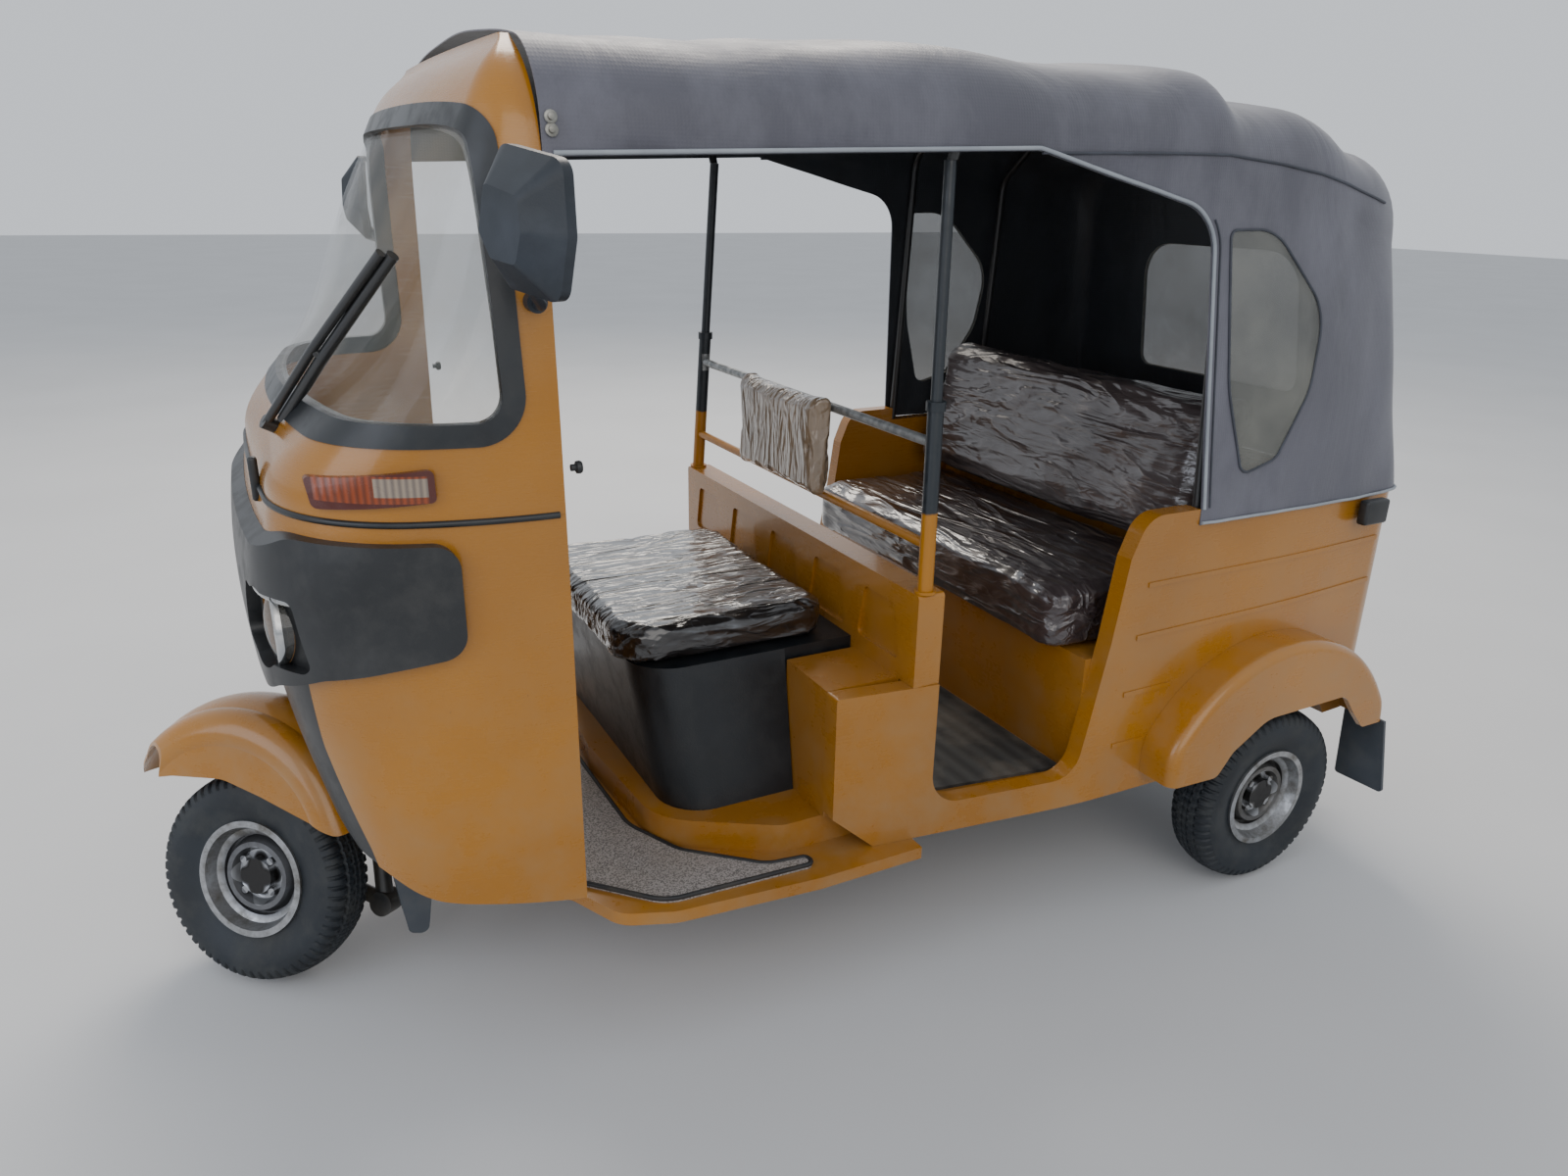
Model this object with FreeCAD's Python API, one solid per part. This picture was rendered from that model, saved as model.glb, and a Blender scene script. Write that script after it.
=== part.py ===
import FreeCAD
import Part
import math
import os

# Three-wheeled auto rickshaw, at rest with its front wheel on the right-hand steering stop.
# Millimetres, +X forwards, +Y to the vehicle's left, +Z up, the ground at Z = 0.
# Stations along X are measured from a datum near mid-wheelbase. The finished pieces are
# moved by ORIGIN_X, so that the origin is under the middle of the whole vehicle.

V = FreeCAD.Vector

ORIGIN_X = 19.53

# Clearances: still pieces on their seats, and the gap round the lid
SEAT_GAP = 0.3
LID_GAP = 6.0

# Wheels and tyres, 4.00-8 all round
REAR_AXLE_X = -890.0
REAR_HALF_TRACK = 575.0
TYRE_RADIUS = 203.0
TYRE_HALF_WIDTH = 53.0
CROWN_RADIUS = 120.0
CROWN_HALF_WIDTH = 38.0
SHOULDER_RADIUS = 165.0
BEAD_RADIUS = 106.0
BEAD_HALF_WIDTH = 40.0
BEAD_FACE = 7.0
RIM_FLANGE_RADIUS = 112.0
RIM_WELL_RADIUS = 84.0
RIM_SHEET = 5.0
RIM_DISC_RADIUS = 80.0
RIM_DISC_OFFSET = 12.0
HUB_RADIUS = 34.0
HUB_BACK = 30.0

# Steering: raked column, one trailing link on the right of the wheel
RAKE = 20.0
STEER_STOP = 45.0
STEER_AXIS_X = 1038.0
HUB_LEAD = 62.0
COLUMN_RADIUS = 24.0
COLUMN_TOP = 800.0
HEAD_RADIUS = 34.0
HEAD_LOW = 470.0
HEAD_HIGH = 720.0
NECK_RADIUS = 20.0
NECK_FOOT_X = 722.0
LEG_Y = -78.0
LEG_RADIUS = 16.0
LINK_BOSS_RADIUS = 24.0
LINK_ARM_RADIUS = 15.0
DAMPER_Y = -75.0
DAMPER_RADIUS = 16.0
FENDER_HALF_WIDTH = 98.0
FENDER_SHEET = 3.0
FENDER_RADIUS = 272.0
FENDER_RISE = 75.0
FENDER_TIP = 251.0
FENDER_TAPER = 131.0
FENDER_BULGE = 12.0
FENDER_REAR = -300.0
HANDLEBAR_RADIUS = 11.0
GRIP_Y = 300.0
GRIP_BACK = 120.0

# Main levels
FLOOR_BOTTOM_Z = 264.0
FLOOR_TOP_Z = 288.0
SILL_TOP_Z = 352.0
PASSENGER_FLOOR_Z = 338.0
FLOOR_SHEET = 26.0
STEP_TOP_Z = 605.0
WALL_TOP_Z = 782.0
HEM_Z = 850.0
BELT_Z = 881.0
APRON_LOW_Z = 352.0
BEAD_Z = 1003.0

# Nose shell: plan ovals of three tangent arcs a side, one row a level
NOSE_REAR_X = 620.0
NOSE_SIDE_RADIUS = 700.0
NOSE_TAIL = 12.0
APRON_WALL = 22.0
FRAME_WALL = 24.0
# level z, front x, half width, corner radius, front radius
APRON_ROWS = [
    (APRON_LOW_Z, 958, 512, 170, 1500),
    (520, 992, 511, 200, 2500),
    (735, 1026, 509, 230, 4000),
    (870, 1028, 508, 240, 4000),
    (BEAD_Z - SEAT_GAP / 2, 1004, 505, 250, 5000),
]
FRAME_ROWS = [
    (BEAD_Z + SEAT_GAP / 2, 1004, 505, 250, 5000),
    (1085, 975, 502, 215, 3500),
    (1160, 930, 499, 165, 1500),
    (1320, 850, 490, 150, 1300),
    (1480, 774, 479, 98, 1800),
    (1530, 744, 466, 74, 2200),
    (1578, 715, 438, 44, 2600),
    (1608, 683, 405, 20, 3400),
    (1640, 643, 350, 7, 7000),
]
FRAME_HOLLOW_ROWS = FRAME_ROWS[:7]
HEADER_FRONT_X = 641.0
HEADER_LOW_Z = 1600.0

# Apron front: opening over the wheel, lamps and their black surround
# half-opening y, z, corner radius, from the bottom upwards
OPENING_EDGE = [(403, 200, 0), (403, 470, 60), (375, 650, 200), (372, 765, 20)]
OPENING_REAR_X = 790.0
WHEEL_HOLE_Y = 215.0
WHEEL_HOLE_TOP_Z = 566.0
PANEL_INSET = 4.0
BEZEL_PROUD = 20.0
LAMP_Y = 296.0
LAMP_Z = 822.0
LAMP_RADIUS = 62.0
LAMP_DOME_RADIUS = 130.0
INDICATOR_PROUD = 9.0

# Windscreen
SCREEN_REAR_X = 664.0
SCREEN_LOW_Z = 1108.0
SCREEN_HIGH_Z = 1556.0
GASKET_BAND = 32.0
GASKET_PROUD = 3.0
GASKET_DEEP = 15.0
GLASS_INSET = 5.0
GLASS_THICKNESS = 6.0

# Hood: arches across the vehicle, one row a station
HOOD_SKIN = 5.0
HOOD_SPRING_DROP = 190.0
HOOD_CORNER_RADIUS = 130.0
HOOD_TOP_RADIUS = 2400.0
HOOD_SIDE_RADIUS = 900.0
HOOD_DOOR_X = -610.0
# station x, half width at the spring, top z, half width at the hem
HOOD_ROWS = [
    (NOSE_REAR_X - SEAT_GAP, 482, 1668, 500, 0),
    (340, 490, 1673, 511, 0),
    (-50, 503, 1697, 530, 0),
    (-240, 508, 1683, 545, 0),
    (-430, 513, 1681, 558, 0),
    (-587, 517, 1690, 567, 0),
    (-655, 518, 1650, 570, 0),
    (-740, 519, 1640, 571, 0),
    (-835, 519, 1641, 571, 0),
    (-925, 518, 1624, 571, 20),
    (-1010, 512, 1594, 568, 45),
    (-1100, 504, 1570, 564, 70),
    (-1180, 490, 1562, 556, 90),
    (-1232, 472, 1548, 538, 100),
    (-1256, 445, 1520, 510, 100),
]
HOOP_RADIUS = 9.0
HOOP_DROP = 47.0
HOOP_CROWN = 24.0
HOOP_KNEE_DROP = 150.0

# Body sides: one curved wall a side from the step to the rear corner
SIDE_WALL = 38.0
REAR_FACE_X = -1250.0
REAR_WALL = 34.0
TAIL_LAMP_Y = (392.0, 462.0)
TAIL_LAMP_DEPTH = 34.0
BUMPER_OUT = 38.0
BUMPER_FOOT_Y = 380.0
BUMPER_Z = 300.0
REAR_RETURN_Y = 430.0
# station x, outer half width, corner radius in plan
SIDE_ROWS = [
    (152, 499, 0),
    (-380, 561, 1500),
    (-900, 568, 3000),
    (REAR_FACE_X, 550, 80),
]
SWAGE_PROUD = 2.5
SWAGE_HALF = 5.0
# front z, rear end x, rear z
SWAGE_ROWS = [(403, -540, 404), (514, -596, 516), (634, -1180, 651), (742, -1180, 749)]
WHEEL_ARCH_RADIUS = 262.0

# Rear panel and its engine lid
PANEL_LOW_Z = 334.0
LID_HALF_WIDTH = 372.0
LID_LOW_Z = 428.0
LID_HIGH_Z = 802.0
LID_SHEET = 30.0
KNUCKLE_RADIUS = 6.0
HINGE_X = REAR_FACE_X - KNUCKLE_RADIUS - SEAT_GAP
HINGE_Z = LID_HIGH_Z - 3.0
HINGE_LEAF = 3.0
PLATE_HOLE_Z = 380.0
PLATE_HOLE_Y = 105.0
PLATE_HOLE_RADIUS = 3.3

# Partition between driver and passengers
WALL_FRONT_X = 2.0
WALL_REAR_X = -53.0
WALL_HALF_WIDTH = 517.0
WALL_LOW_HALF = 467.0
STEP_FRONT_X = 150.0
STEP_INNER_Y = 305.0
STEP_OUTER_Y = 460.0
POST_X = -20.0
POST_FOOT_Y = 502.0
POST_TOP_Y = 457.0
POST_TOP_X = -47.0
POST_TOP_Z = 1494.3
POST_RADIUS = 14.0
POST_UPPER_RADIUS = 10.0
POST_COLLAR_Z = 1110.0
# The hood's hoops: station, hood half width and top there, foot height, foot half width
HOOP_ROWS = [
    (POST_TOP_X, 503, 1697, POST_TOP_Z + SEAT_GAP, POST_TOP_Y),
    (-622, 517, 1668, HEM_Z, 545),
    (-905, 516, 1622, HEM_Z, 541),
]
RAIL_RADIUS = 9.0
RAIL_LEVELS = (867.0, 1045.0)

# Passenger bench and parcel shelf
BENCH_FRONT_X = -400.0
BENCH_TOP_Z = 588.0
BENCH_BACK_X = -820.0
BENCH_SHEET = 16.0
BENCH_CUSHION_FRONT_X = -328.0
BENCH_CUSHION_HALF = 507.0
CUSHION_THICKNESS = 130.0
SHELF_Z = 840.0

# Driver's seat
PLINTH_Z = 346.0
SEAT_BOX_REAR_X = 2.3
SEAT_BOX_FRONT_X = 400.0
SEAT_BOX_HALF_WIDTH = 345.0
SEAT_BOX_TOP_Z = 626.0
SEAT_TOP_HALF_WIDTH = 298.0
SEAT_TOP_FRONT_X = 440.0
SEAT_CUSHION_TOP_Z = 702.0
SEAT_CUSHION_FRONT_X = 490.0

# Chassis
RAIL_Y = 210.0
RAIL_HALF = 25.0
RAIL_LOW_Z = 204.0
RAIL_FRONT_X = 744.0
KICK_X = -560.0
KICK_LENGTH = 60.0
UPPER_RAIL_LOW_Z = 520.0
UPPER_RAIL_HIGH_Z = 560.0
HOUSE_Y = 468.0
HOUSE_SHEET = 12.0
CROSS_WIDTH = 44.0
BULKHEAD_FOOT_HALF = 250.0
# station x, half length
CROSS_ROWS = [(700, 250), (300, 440), (20, 440), (-300, 440), (-548, 440)]
UPPER_CROSS_ROWS = [(-1214, 474), (-910, 474), (-800, 474), (-548, 474)]

# Mirrors: middle of the glass in plan, turn, rim and depth of the housing
MIRROR_CENTRE = (675.0, 640.0)
MIRROR_TURN = 20.0
MIRROR_RIM = 14.0
MIRROR_DEPTH = 54.0

# Rear fenders: a round top about a point near the axle
FENDER_ARC_X = -868.0
FENDER_ARC_Z = 208.0
FENDER_ARC_RADIUS = 375.0
ARC_SHARE = 0.96
FENDER_OUTER_Y = 650.0
FENDER_WALL = 12.0
FENDER_TOP_WALL = 22.0
FENDER_EDGE_RADIUS = 22.0
FENDER_REAR_Z = 338.0
WHEELWAY_RADIUS = 222.0

# Power unit, hidden under the bench
ENGINE_LEFT_Y = 190.0
ENGINE_RIGHT_Y = -170.0
SUSPENSION_Y = 420.0

# Values that follow from the sizes above
LEAN_COS = math.cos(math.asin(math.sin(math.radians(RAKE)) * math.sin(math.radians(STEER_STOP))))
REST_HUB_Z = (TYRE_RADIUS - CROWN_RADIUS) * LEAN_COS + CROWN_RADIUS
HUB_DROP = HUB_LEAD * math.sin(math.radians(RAKE)) * math.cos(math.radians(RAKE)) * (
    1 - math.cos(math.radians(STEER_STOP)))
FRONT_HUB_Z = REST_HUB_Z + HUB_DROP
STEER_DIR = V(-math.sin(math.radians(RAKE)), 0, math.cos(math.radians(RAKE)))
REST_SPIN = (V(STEER_AXIS_X, 0, FRONT_HUB_Z), STEER_DIR, -STEER_STOP)
FRONT_HUB = V(STEER_AXIS_X + HUB_LEAD, 0, FRONT_HUB_Z)
LINK_PIVOT = FRONT_HUB + V(-205, LEG_Y, -70)
FAR = 700.0


# Small helpers

def put(name, shape, spin=None):
    """Write one sub-part at its place in the vehicle's frame."""
    done = shape.copy()
    if spin is not None:
        done.rotate(*spin)
    done.translate(V(ORIGIN_X, 0, 0))
    os.makedirs("parts", exist_ok=True)
    done.exportStep("parts/" + name + ".step")
    print(name, len(done.Solids), round(done.Volume / 1e6, 3), done.isValid())


def block(x0, x1, y0, y1, z0, z1):
    """A box between two corners."""
    return Part.makeBox(x1 - x0, y1 - y0, z1 - z0, V(x0, y0, z0))


def rod(start, end, radius):
    """A round bar between two points."""
    run = end - start
    return Part.makeCylinder(radius, run.Length, start, run)


def tube(points, radius, bend):
    """A round bar along straight runs joined by tangent arcs."""
    edges = []
    here = points[0]
    for i in range(1, len(points) - 1):
        before = (points[i - 1] - points[i]).normalize()
        after = (points[i + 1] - points[i]).normalize()
        half = before.getAngle(after) / 2
        reach = bend / math.tan(half)
        first = points[i] + before * reach
        last = points[i] + after * reach
        middle = points[i] + (before + after).normalize() * (bend / math.sin(half) - bend)
        edges.append(Part.LineSegment(here, first).toShape())
        edges.append(Part.Arc(first, middle, last).toShape())
        here = last
    edges.append(Part.LineSegment(here, points[-1]).toShape())
    ring = Part.Wire([Part.makeCircle(radius, points[0], points[1] - points[0])])
    return Part.Wire(edges).makePipeShell([ring], True, False)


def outline(corners, place):
    """A closed wire through corners (a, b, radius), each corner rounded by its own radius."""
    edges = []
    first_point = None
    here = None
    count = len(corners)
    for i in range(count):
        a, b, radius = corners[i]
        corner = V(a, b, 0)
        before = V(*corners[i - 1][:2], 0) - corner
        after = V(*corners[(i + 1) % count][:2], 0) - corner
        if radius > 0:
            half = before.getAngle(after) / 2
            reach = radius / math.tan(half)
            start = corner + before.normalize() * reach
            end = corner + after.normalize() * reach
            middle = corner + (before + after).normalize() * (radius / math.sin(half) - radius)
        else:
            start = corner
            end = corner
        if here is not None and (start - here).Length > 0.01:
            edges.append(Part.LineSegment(place(here), place(start)).toShape())
        if radius > 0:
            edges.append(Part.Arc(place(start), place(middle), place(end)).toShape())
        if first_point is None:
            first_point = start
        here = end
    if (first_point - here).Length > 0.01:
        edges.append(Part.LineSegment(place(here), place(first_point)).toShape())
    return Part.Wire(edges)


def side_prism(corners, y0, y1):
    """A side-view outline (x, z, radius) carried across the vehicle from y0 to y1."""
    wire = outline(corners, lambda p: V(p.x, y0, p.y))
    return Part.Face(wire).extrude(V(0, y1 - y0, 0))


def plan_prism(corners, z0, z1):
    """A plan outline (x, y, radius) carried up from z0 to z1."""
    wire = outline(corners, lambda p: V(p.x, p.y, z0))
    return Part.Face(wire).extrude(V(0, 0, z1 - z0))


def front_prism(corners, x0, x1):
    """A front-view outline (y, z, radius) carried along the vehicle from x0 to x1."""
    wire = outline(corners, lambda p: V(x0, p.x, p.y))
    return Part.Face(wire).extrude(V(x1 - x0, 0, 0))


def mirrored(corners):
    """Corners (y, z, radius) or (x, y, radius) run up one side and back down the other."""
    return corners + [(-a, b, r) for a, b, r in corners[::-1]]


def across(corners):
    """Plan corners (x, y, radius) of one side followed by those of the other side."""
    return corners + [(x, -y, r) for x, y, r in corners[::-1]]


def other_side(shape):
    """The mirror image across the vehicle's middle plane."""
    return shape.mirror(V(0, 0, 0), V(0, 1, 0))


def both_sides(shape):
    """The piece and its mirror image."""
    return Part.makeCompound([shape, other_side(shape)])


def arc_corners(centre_x, centre_z, radius, start, end, count):
    """Corners of a polygon whose roundings together follow one arc, angles in degrees."""
    step = (end - start) / count
    out = radius / math.cos(math.radians(step / 2))
    angles = [math.radians(start + step * (i + 0.5)) for i in range(count)]
    rounding = radius * ARC_SHARE
    return [(centre_x + out * math.cos(a), centre_z + out * math.sin(a), rounding) for a in angles]


def oval_half(length, half_width, side_radius, corner_radius, front_radius, inset):
    """Points of half an oval: a side arc, a corner arc and half a front arc, all tangent."""
    side_centre = V(0, half_width - side_radius, 0)
    front_centre = V(length - front_radius, 0, 0)
    run = front_centre - side_centre
    to_side = side_radius - corner_radius
    to_front = front_radius - corner_radius
    along = (to_side ** 2 - to_front ** 2 + run.Length ** 2) / (2 * run.Length)
    rise = math.sqrt(to_side ** 2 - along ** 2)
    unit = V(run).normalize()
    sideways = V(-unit.y, unit.x, 0)
    choices = [side_centre + unit * along + sideways * (sign * rise) for sign in (1, -1)]
    centre = max(choices, key=lambda p: p.x + p.y)
    side_way = (centre - side_centre).normalize()
    front_way = (centre - front_centre).normalize()
    corner_way = (side_way + front_way).normalize()
    side_mid_way = (V(0, 1, 0) + side_way).normalize()
    return [
        V(0, half_width - inset, 0),
        side_centre + side_mid_way * (side_radius - inset),
        side_centre + side_way * (side_radius - inset),
        centre + corner_way * (corner_radius - inset),
        front_centre + front_way * (front_radius - inset),
        V(length - inset, 0, 0),
    ]


def oval_edges(half, place):
    """The open chain of five arcs round both halves of an oval."""
    start, side_mid, join, corner, turn, tip = half
    other = [V(p.x, -p.y, 0) for p in half]
    arcs = [
        (start, side_mid, join),
        (join, corner, turn),
        (turn, tip, other[4]),
        (other[4], other[3], other[2]),
        (other[2], other[1], other[0]),
    ]
    return [Part.Arc(*[place(p) for p in arc]).toShape() for arc in arcs]


def nose_solid(rows, inset, tail=0.0, low=0.0, high=0.0):
    """The solid nose through its rows, drawn in by inset and run on by tail, low and high."""
    wires = []
    for z, front_x, half_width, corner, front_radius in rows:
        half = oval_half(front_x - NOSE_REAR_X, half_width, NOSE_SIDE_RADIUS, corner,
                         front_radius, inset)

        def place(p, level=z):
            return V(NOSE_REAR_X + p.x, p.y, level)

        edges = oval_edges(half, place)
        left = place(half[0])
        right = place(V(half[0].x, -half[0].y, 0))
        left_back = left - V(tail, 0, 0)
        right_back = right - V(tail, 0, 0)
        if tail > 0:
            edges.append(Part.LineSegment(right, right_back).toShape())
            edges.append(Part.LineSegment(right_back, left_back).toShape())
            edges.append(Part.LineSegment(left_back, left).toShape())
        else:
            edges.append(Part.LineSegment(right, left).toShape())
        wires.append(Part.Wire(edges))
    body = Part.makeLoft(wires, True, False)
    if low > 0:
        body = body.fuse(Part.Face(wires[0]).extrude(V(0, 0, -low)))
    if high > 0:
        body = body.fuse(Part.Face(wires[-1]).extrude(V(0, 0, high)))
    return body


def apron_layer(outer, inner):
    """The layer of the apron between two insets, open at the back."""
    return nose_solid(APRON_ROWS, outer).cut(
        nose_solid(APRON_ROWS, inner, NOSE_TAIL, 20, 20))


def frame_layer(outer, inner):
    """The layer of the windscreen frame between two insets, open at the back."""
    return nose_solid(FRAME_ROWS, outer).cut(
        nose_solid(FRAME_HOLLOW_ROWS, inner, NOSE_TAIL, 20, 0))


def hood_wire(row, inset, low, shift=0.0):
    """One arch of the hood with its two legs down to low."""
    x, half_width, top, hem_half, lean = row
    spring = top - HOOD_SPRING_DROP
    half = oval_half(HOOD_SPRING_DROP, half_width, HOOD_SIDE_RADIUS, HOOD_CORNER_RADIUS,
                     HOOD_TOP_RADIUS, inset)

    def at(y, z):
        return V(x + shift + lean * (z - HEM_Z) / (top - HEM_Z), y, z)

    def place(p):
        return at(p.y, spring + p.x)

    edges = oval_edges(half, place)
    left = place(half[0])
    right = place(V(half[0].x, -half[0].y, 0))
    left_low = at(hem_half - inset, low)
    right_low = at(-hem_half + inset, low)
    edges.append(Part.LineSegment(right, right_low).toShape())
    edges.append(Part.LineSegment(right_low, left_low).toShape())
    edges.append(Part.LineSegment(left_low, left).toShape())
    return Part.Wire(edges)


def steer_point(height, ahead=0.0, left=0.0):
    """A point near the steering axis: up it from hub height, ahead of it and to its left."""
    axis = V(STEER_AXIS_X, 0, FRONT_HUB_Z) + STEER_DIR * height
    ahead_dir = V(math.cos(math.radians(RAKE)), 0, math.sin(math.radians(RAKE)))
    return axis + ahead_dir * ahead + V(0, left, 0)


def side_plan(inset):
    """Plan corners of one side wall's face, drawn in by inset."""
    rows = [(x, half - inset, max(radius - inset, 0)) for x, half, radius in SIDE_ROWS]
    if inset > 0:
        rows[-1] = (REAR_FACE_X + REAR_WALL, rows[-1][1], rows[-1][2])
    return rows


def interior(z0, z1, extra=0.0):
    """The room between the two side walls, from the step to the rear panel."""
    return plan_prism(across(side_plan(SIDE_WALL + SEAT_GAP + extra)), z0, z1)


# Wheels

def tyre(centre):
    """A tyre turned about its axle, with flat bead faces for the rim's flanges."""
    crown_drop = CROWN_RADIUS - math.sqrt(CROWN_RADIUS ** 2 - CROWN_HALF_WIDTH ** 2)
    edge_radius = TYRE_RADIUS - crown_drop
    wall_radius = (edge_radius + SHOULDER_RADIUS) / 2 + 4
    wall_y = TYRE_HALF_WIDTH - 4
    bead_top = BEAD_RADIUS + BEAD_FACE
    points = [V(0, y, r) for y, r in [
        (-CROWN_HALF_WIDTH, edge_radius),
        (-TYRE_HALF_WIDTH, SHOULDER_RADIUS),
        (-BEAD_HALF_WIDTH, bead_top),
        (-BEAD_HALF_WIDTH, BEAD_RADIUS),
        (BEAD_HALF_WIDTH, BEAD_RADIUS),
        (BEAD_HALF_WIDTH, bead_top),
        (TYRE_HALF_WIDTH, SHOULDER_RADIUS),
        (CROWN_HALF_WIDTH, edge_radius),
    ]]
    edges = [Part.Arc(points[0], V(0, -wall_y, wall_radius), points[1]).toShape()]
    for i in range(1, 6):
        edges.append(Part.LineSegment(points[i], points[i + 1]).toShape())
    edges.append(Part.Arc(points[6], V(0, wall_y, wall_radius), points[7]).toShape())
    edges.append(Part.Arc(points[7], V(0, 0, TYRE_RADIUS), points[0]).toShape())
    ring = Part.Face(Part.Wire(edges)).revolve(V(0, 0, 0), V(0, 1, 0), 360)
    ring.translate(centre)
    return ring


def rim(centre, outer_side):
    """A pressed steel rim: well, flanges, dished disc, hub and four studs."""
    flange = RIM_FLANGE_RADIUS
    seat = BEAD_RADIUS - SEAT_GAP
    edge = BEAD_HALF_WIDTH + SEAT_GAP
    well = RIM_WELL_RADIUS
    profile = [
        (-edge - RIM_SHEET, flange), (-edge, flange), (-edge, seat), (-26, seat - 6),
        (-16, well), (16, well), (26, seat - 6), (edge, seat), (edge, flange),
        (edge + RIM_SHEET, flange), (edge + RIM_SHEET, seat - 6), (24, seat - 14),
        (18, well - RIM_SHEET), (-18, well - RIM_SHEET), (-24, seat - 14),
        (-edge - RIM_SHEET, seat - 6),
    ]
    wire = Part.makePolygon([V(0, y, r) for y, r in profile + profile[:1]])
    wheel = Part.Face(wire).revolve(V(0, 0, 0), V(0, 1, 0), 360)
    y = RIM_DISC_OFFSET
    dish = [
        (y, 0), (y, 48), (y + 14, 56), (y + 14, 66), (y - 6, 76), (y - 6, RIM_DISC_RADIUS),
        (y - 12, RIM_DISC_RADIUS), (y - 12, 74), (y + 8, 64), (y + 8, 58), (y - 6, 50), (y - 6, 0),
    ]
    wire = Part.makePolygon([V(0, y, r) for y, r in dish + dish[:1]])
    disc = Part.Face(wire).revolve(V(0, 0, 0), V(0, 1, 0), 360)
    pieces = [disc, rod(V(0, -HUB_BACK, 0), V(0, y + 16, 0), HUB_RADIUS)]
    for i in range(4):
        angle = math.radians(45 + 90 * i)
        stud = V(42 * math.sin(angle), y, 42 * math.cos(angle))
        pieces.append(rod(stud - V(0, 3, 0), stud + V(0, 12, 0), 7))
    wheel = wheel.fuse(pieces)
    if outer_side < 0:
        wheel = other_side(wheel)
    wheel.translate(centre)
    return wheel


# Steering group, drawn with the wheel straight ahead

def leg_points():
    """The run of the single fork leg, from the column's crown to the link's pivot."""
    crown = steer_point(348)
    shoulder = V(crown.x - 4, LEG_Y, crown.z - 12)
    knee = V(FRONT_HUB.x - 190, LEG_Y, FRONT_HUB.z + 120)
    return [crown - STEER_DIR * 2 + V(0, -4, 0), shoulder, knee, LINK_PIVOT]


def damper_points():
    """Foot on the link, shoulder and head of the front damper."""
    foot = FRONT_HUB + V(-98, DAMPER_Y, -34)
    head = steer_point(300, 22, DAMPER_Y)
    way = (head - foot).normalize()
    return foot, head - way * 60, head


def fender_solid(radius, half_width):
    """A mudguard body of revolution with a domed section."""
    low = radius - 40
    points = [
        V(0, -half_width, 40), V(0, -half_width, low - 40), V(0, -half_width * 0.62, radius - 16),
        V(0, 0, radius), V(0, half_width * 0.62, radius - 16), V(0, half_width, low - 40),
        V(0, half_width, 40),
    ]
    edges = [
        Part.LineSegment(points[0], points[1]).toShape(),
        Part.Arc(points[1], V(0, -half_width * 0.92, low + 12), points[2]).toShape(),
        Part.Arc(points[2], points[3], points[4]).toShape(),
        Part.Arc(points[4], V(0, half_width * 0.92, low + 12), points[5]).toShape(),
        Part.LineSegment(points[5], points[6]).toShape(),
        Part.LineSegment(points[6], points[0]).toShape(),
    ]
    body = Part.Face(Part.Wire(edges)).revolve(V(0, 0, 0), V(0, 1, 0), 360)
    body.translate(FRONT_HUB + V(0, 0, FENDER_RISE))
    return body


def front_fender():
    outer = fender_solid(FENDER_RADIUS, FENDER_HALF_WIDTH)
    inner = fender_solid(FENDER_RADIUS - FENDER_SHEET, FENDER_HALF_WIDTH - FENDER_SHEET)
    centre = FRONT_HUB + V(0, 0, FENDER_RISE)
    bore = rod(centre - V(0, 150, 0), centre + V(0, 150, 0), 60)
    edge = [
        (330, 185, 0), (258, 185, 0), (110, 206, 60), (0, 206, 80), (-80, 178, 60),
        (-240, 112, 24), (-290, 150, 0), (-290, 400, 0), (330, 400, 0),
    ]
    keep = side_prism([(FRONT_HUB.x + x, FRONT_HUB.z + z, r) for x, z, r in edge], -150, 150)
    front_x = FRONT_HUB.x + FENDER_TIP
    shoulder_x = front_x - FENDER_TAPER
    rear_x = FRONT_HUB.x + FENDER_REAR
    reach = FENDER_HALF_WIDTH + FENDER_BULGE
    nose = plan_prism([
        (front_x, -30, 60), (front_x, 30, 60), (shoulder_x, reach, 120), (rear_x, reach, 0),
        (rear_x, -reach, 0), (shoulder_x, -reach, 120),
    ], 0, 800)
    foot, _, head = damper_points()
    holes = [
        rod(steer_point(200), steer_point(600), COLUMN_RADIUS + SEAT_GAP),
        tube(leg_points(), LEG_RADIUS + SEAT_GAP, 22),
        rod(foot, head + (head - foot).normalize() * 40, DAMPER_RADIUS + 3),
    ]
    shell = outer.cut(inner).cut(bore).common(keep).common(nose)
    return max(shell.cut(holes).Solids, key=lambda s: s.Volume)


def steering_fork():
    crown = steer_point(348)
    column = rod(crown, steer_point(COLUMN_TOP), COLUMN_RADIUS)
    points = leg_points()
    foot, shoulder, head = damper_points()
    arm_end = FRONT_HUB + V(0, LEG_Y, 0)
    damper = rod(foot, shoulder, DAMPER_RADIUS).cut(
        rod(LINK_PIVOT, arm_end, LINK_ARM_RADIUS + SEAT_GAP))
    damper = max(damper.Solids, key=lambda s: s.CenterOfMass.z)
    pieces = [
        tube(points, LEG_RADIUS, 22),
        rod(LINK_PIVOT - V(0, 20, 0), LINK_PIVOT + V(0, 18, 0), LINK_BOSS_RADIUS),
        rod(crown - STEER_DIR * 26, crown + STEER_DIR * 30, COLUMN_RADIUS + 6),
        damper,
        rod(shoulder - (shoulder - foot).normalize() * 5, head, 7),
        rod(head, points[1], 9),
    ]
    return column.fuse(pieces)


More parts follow.
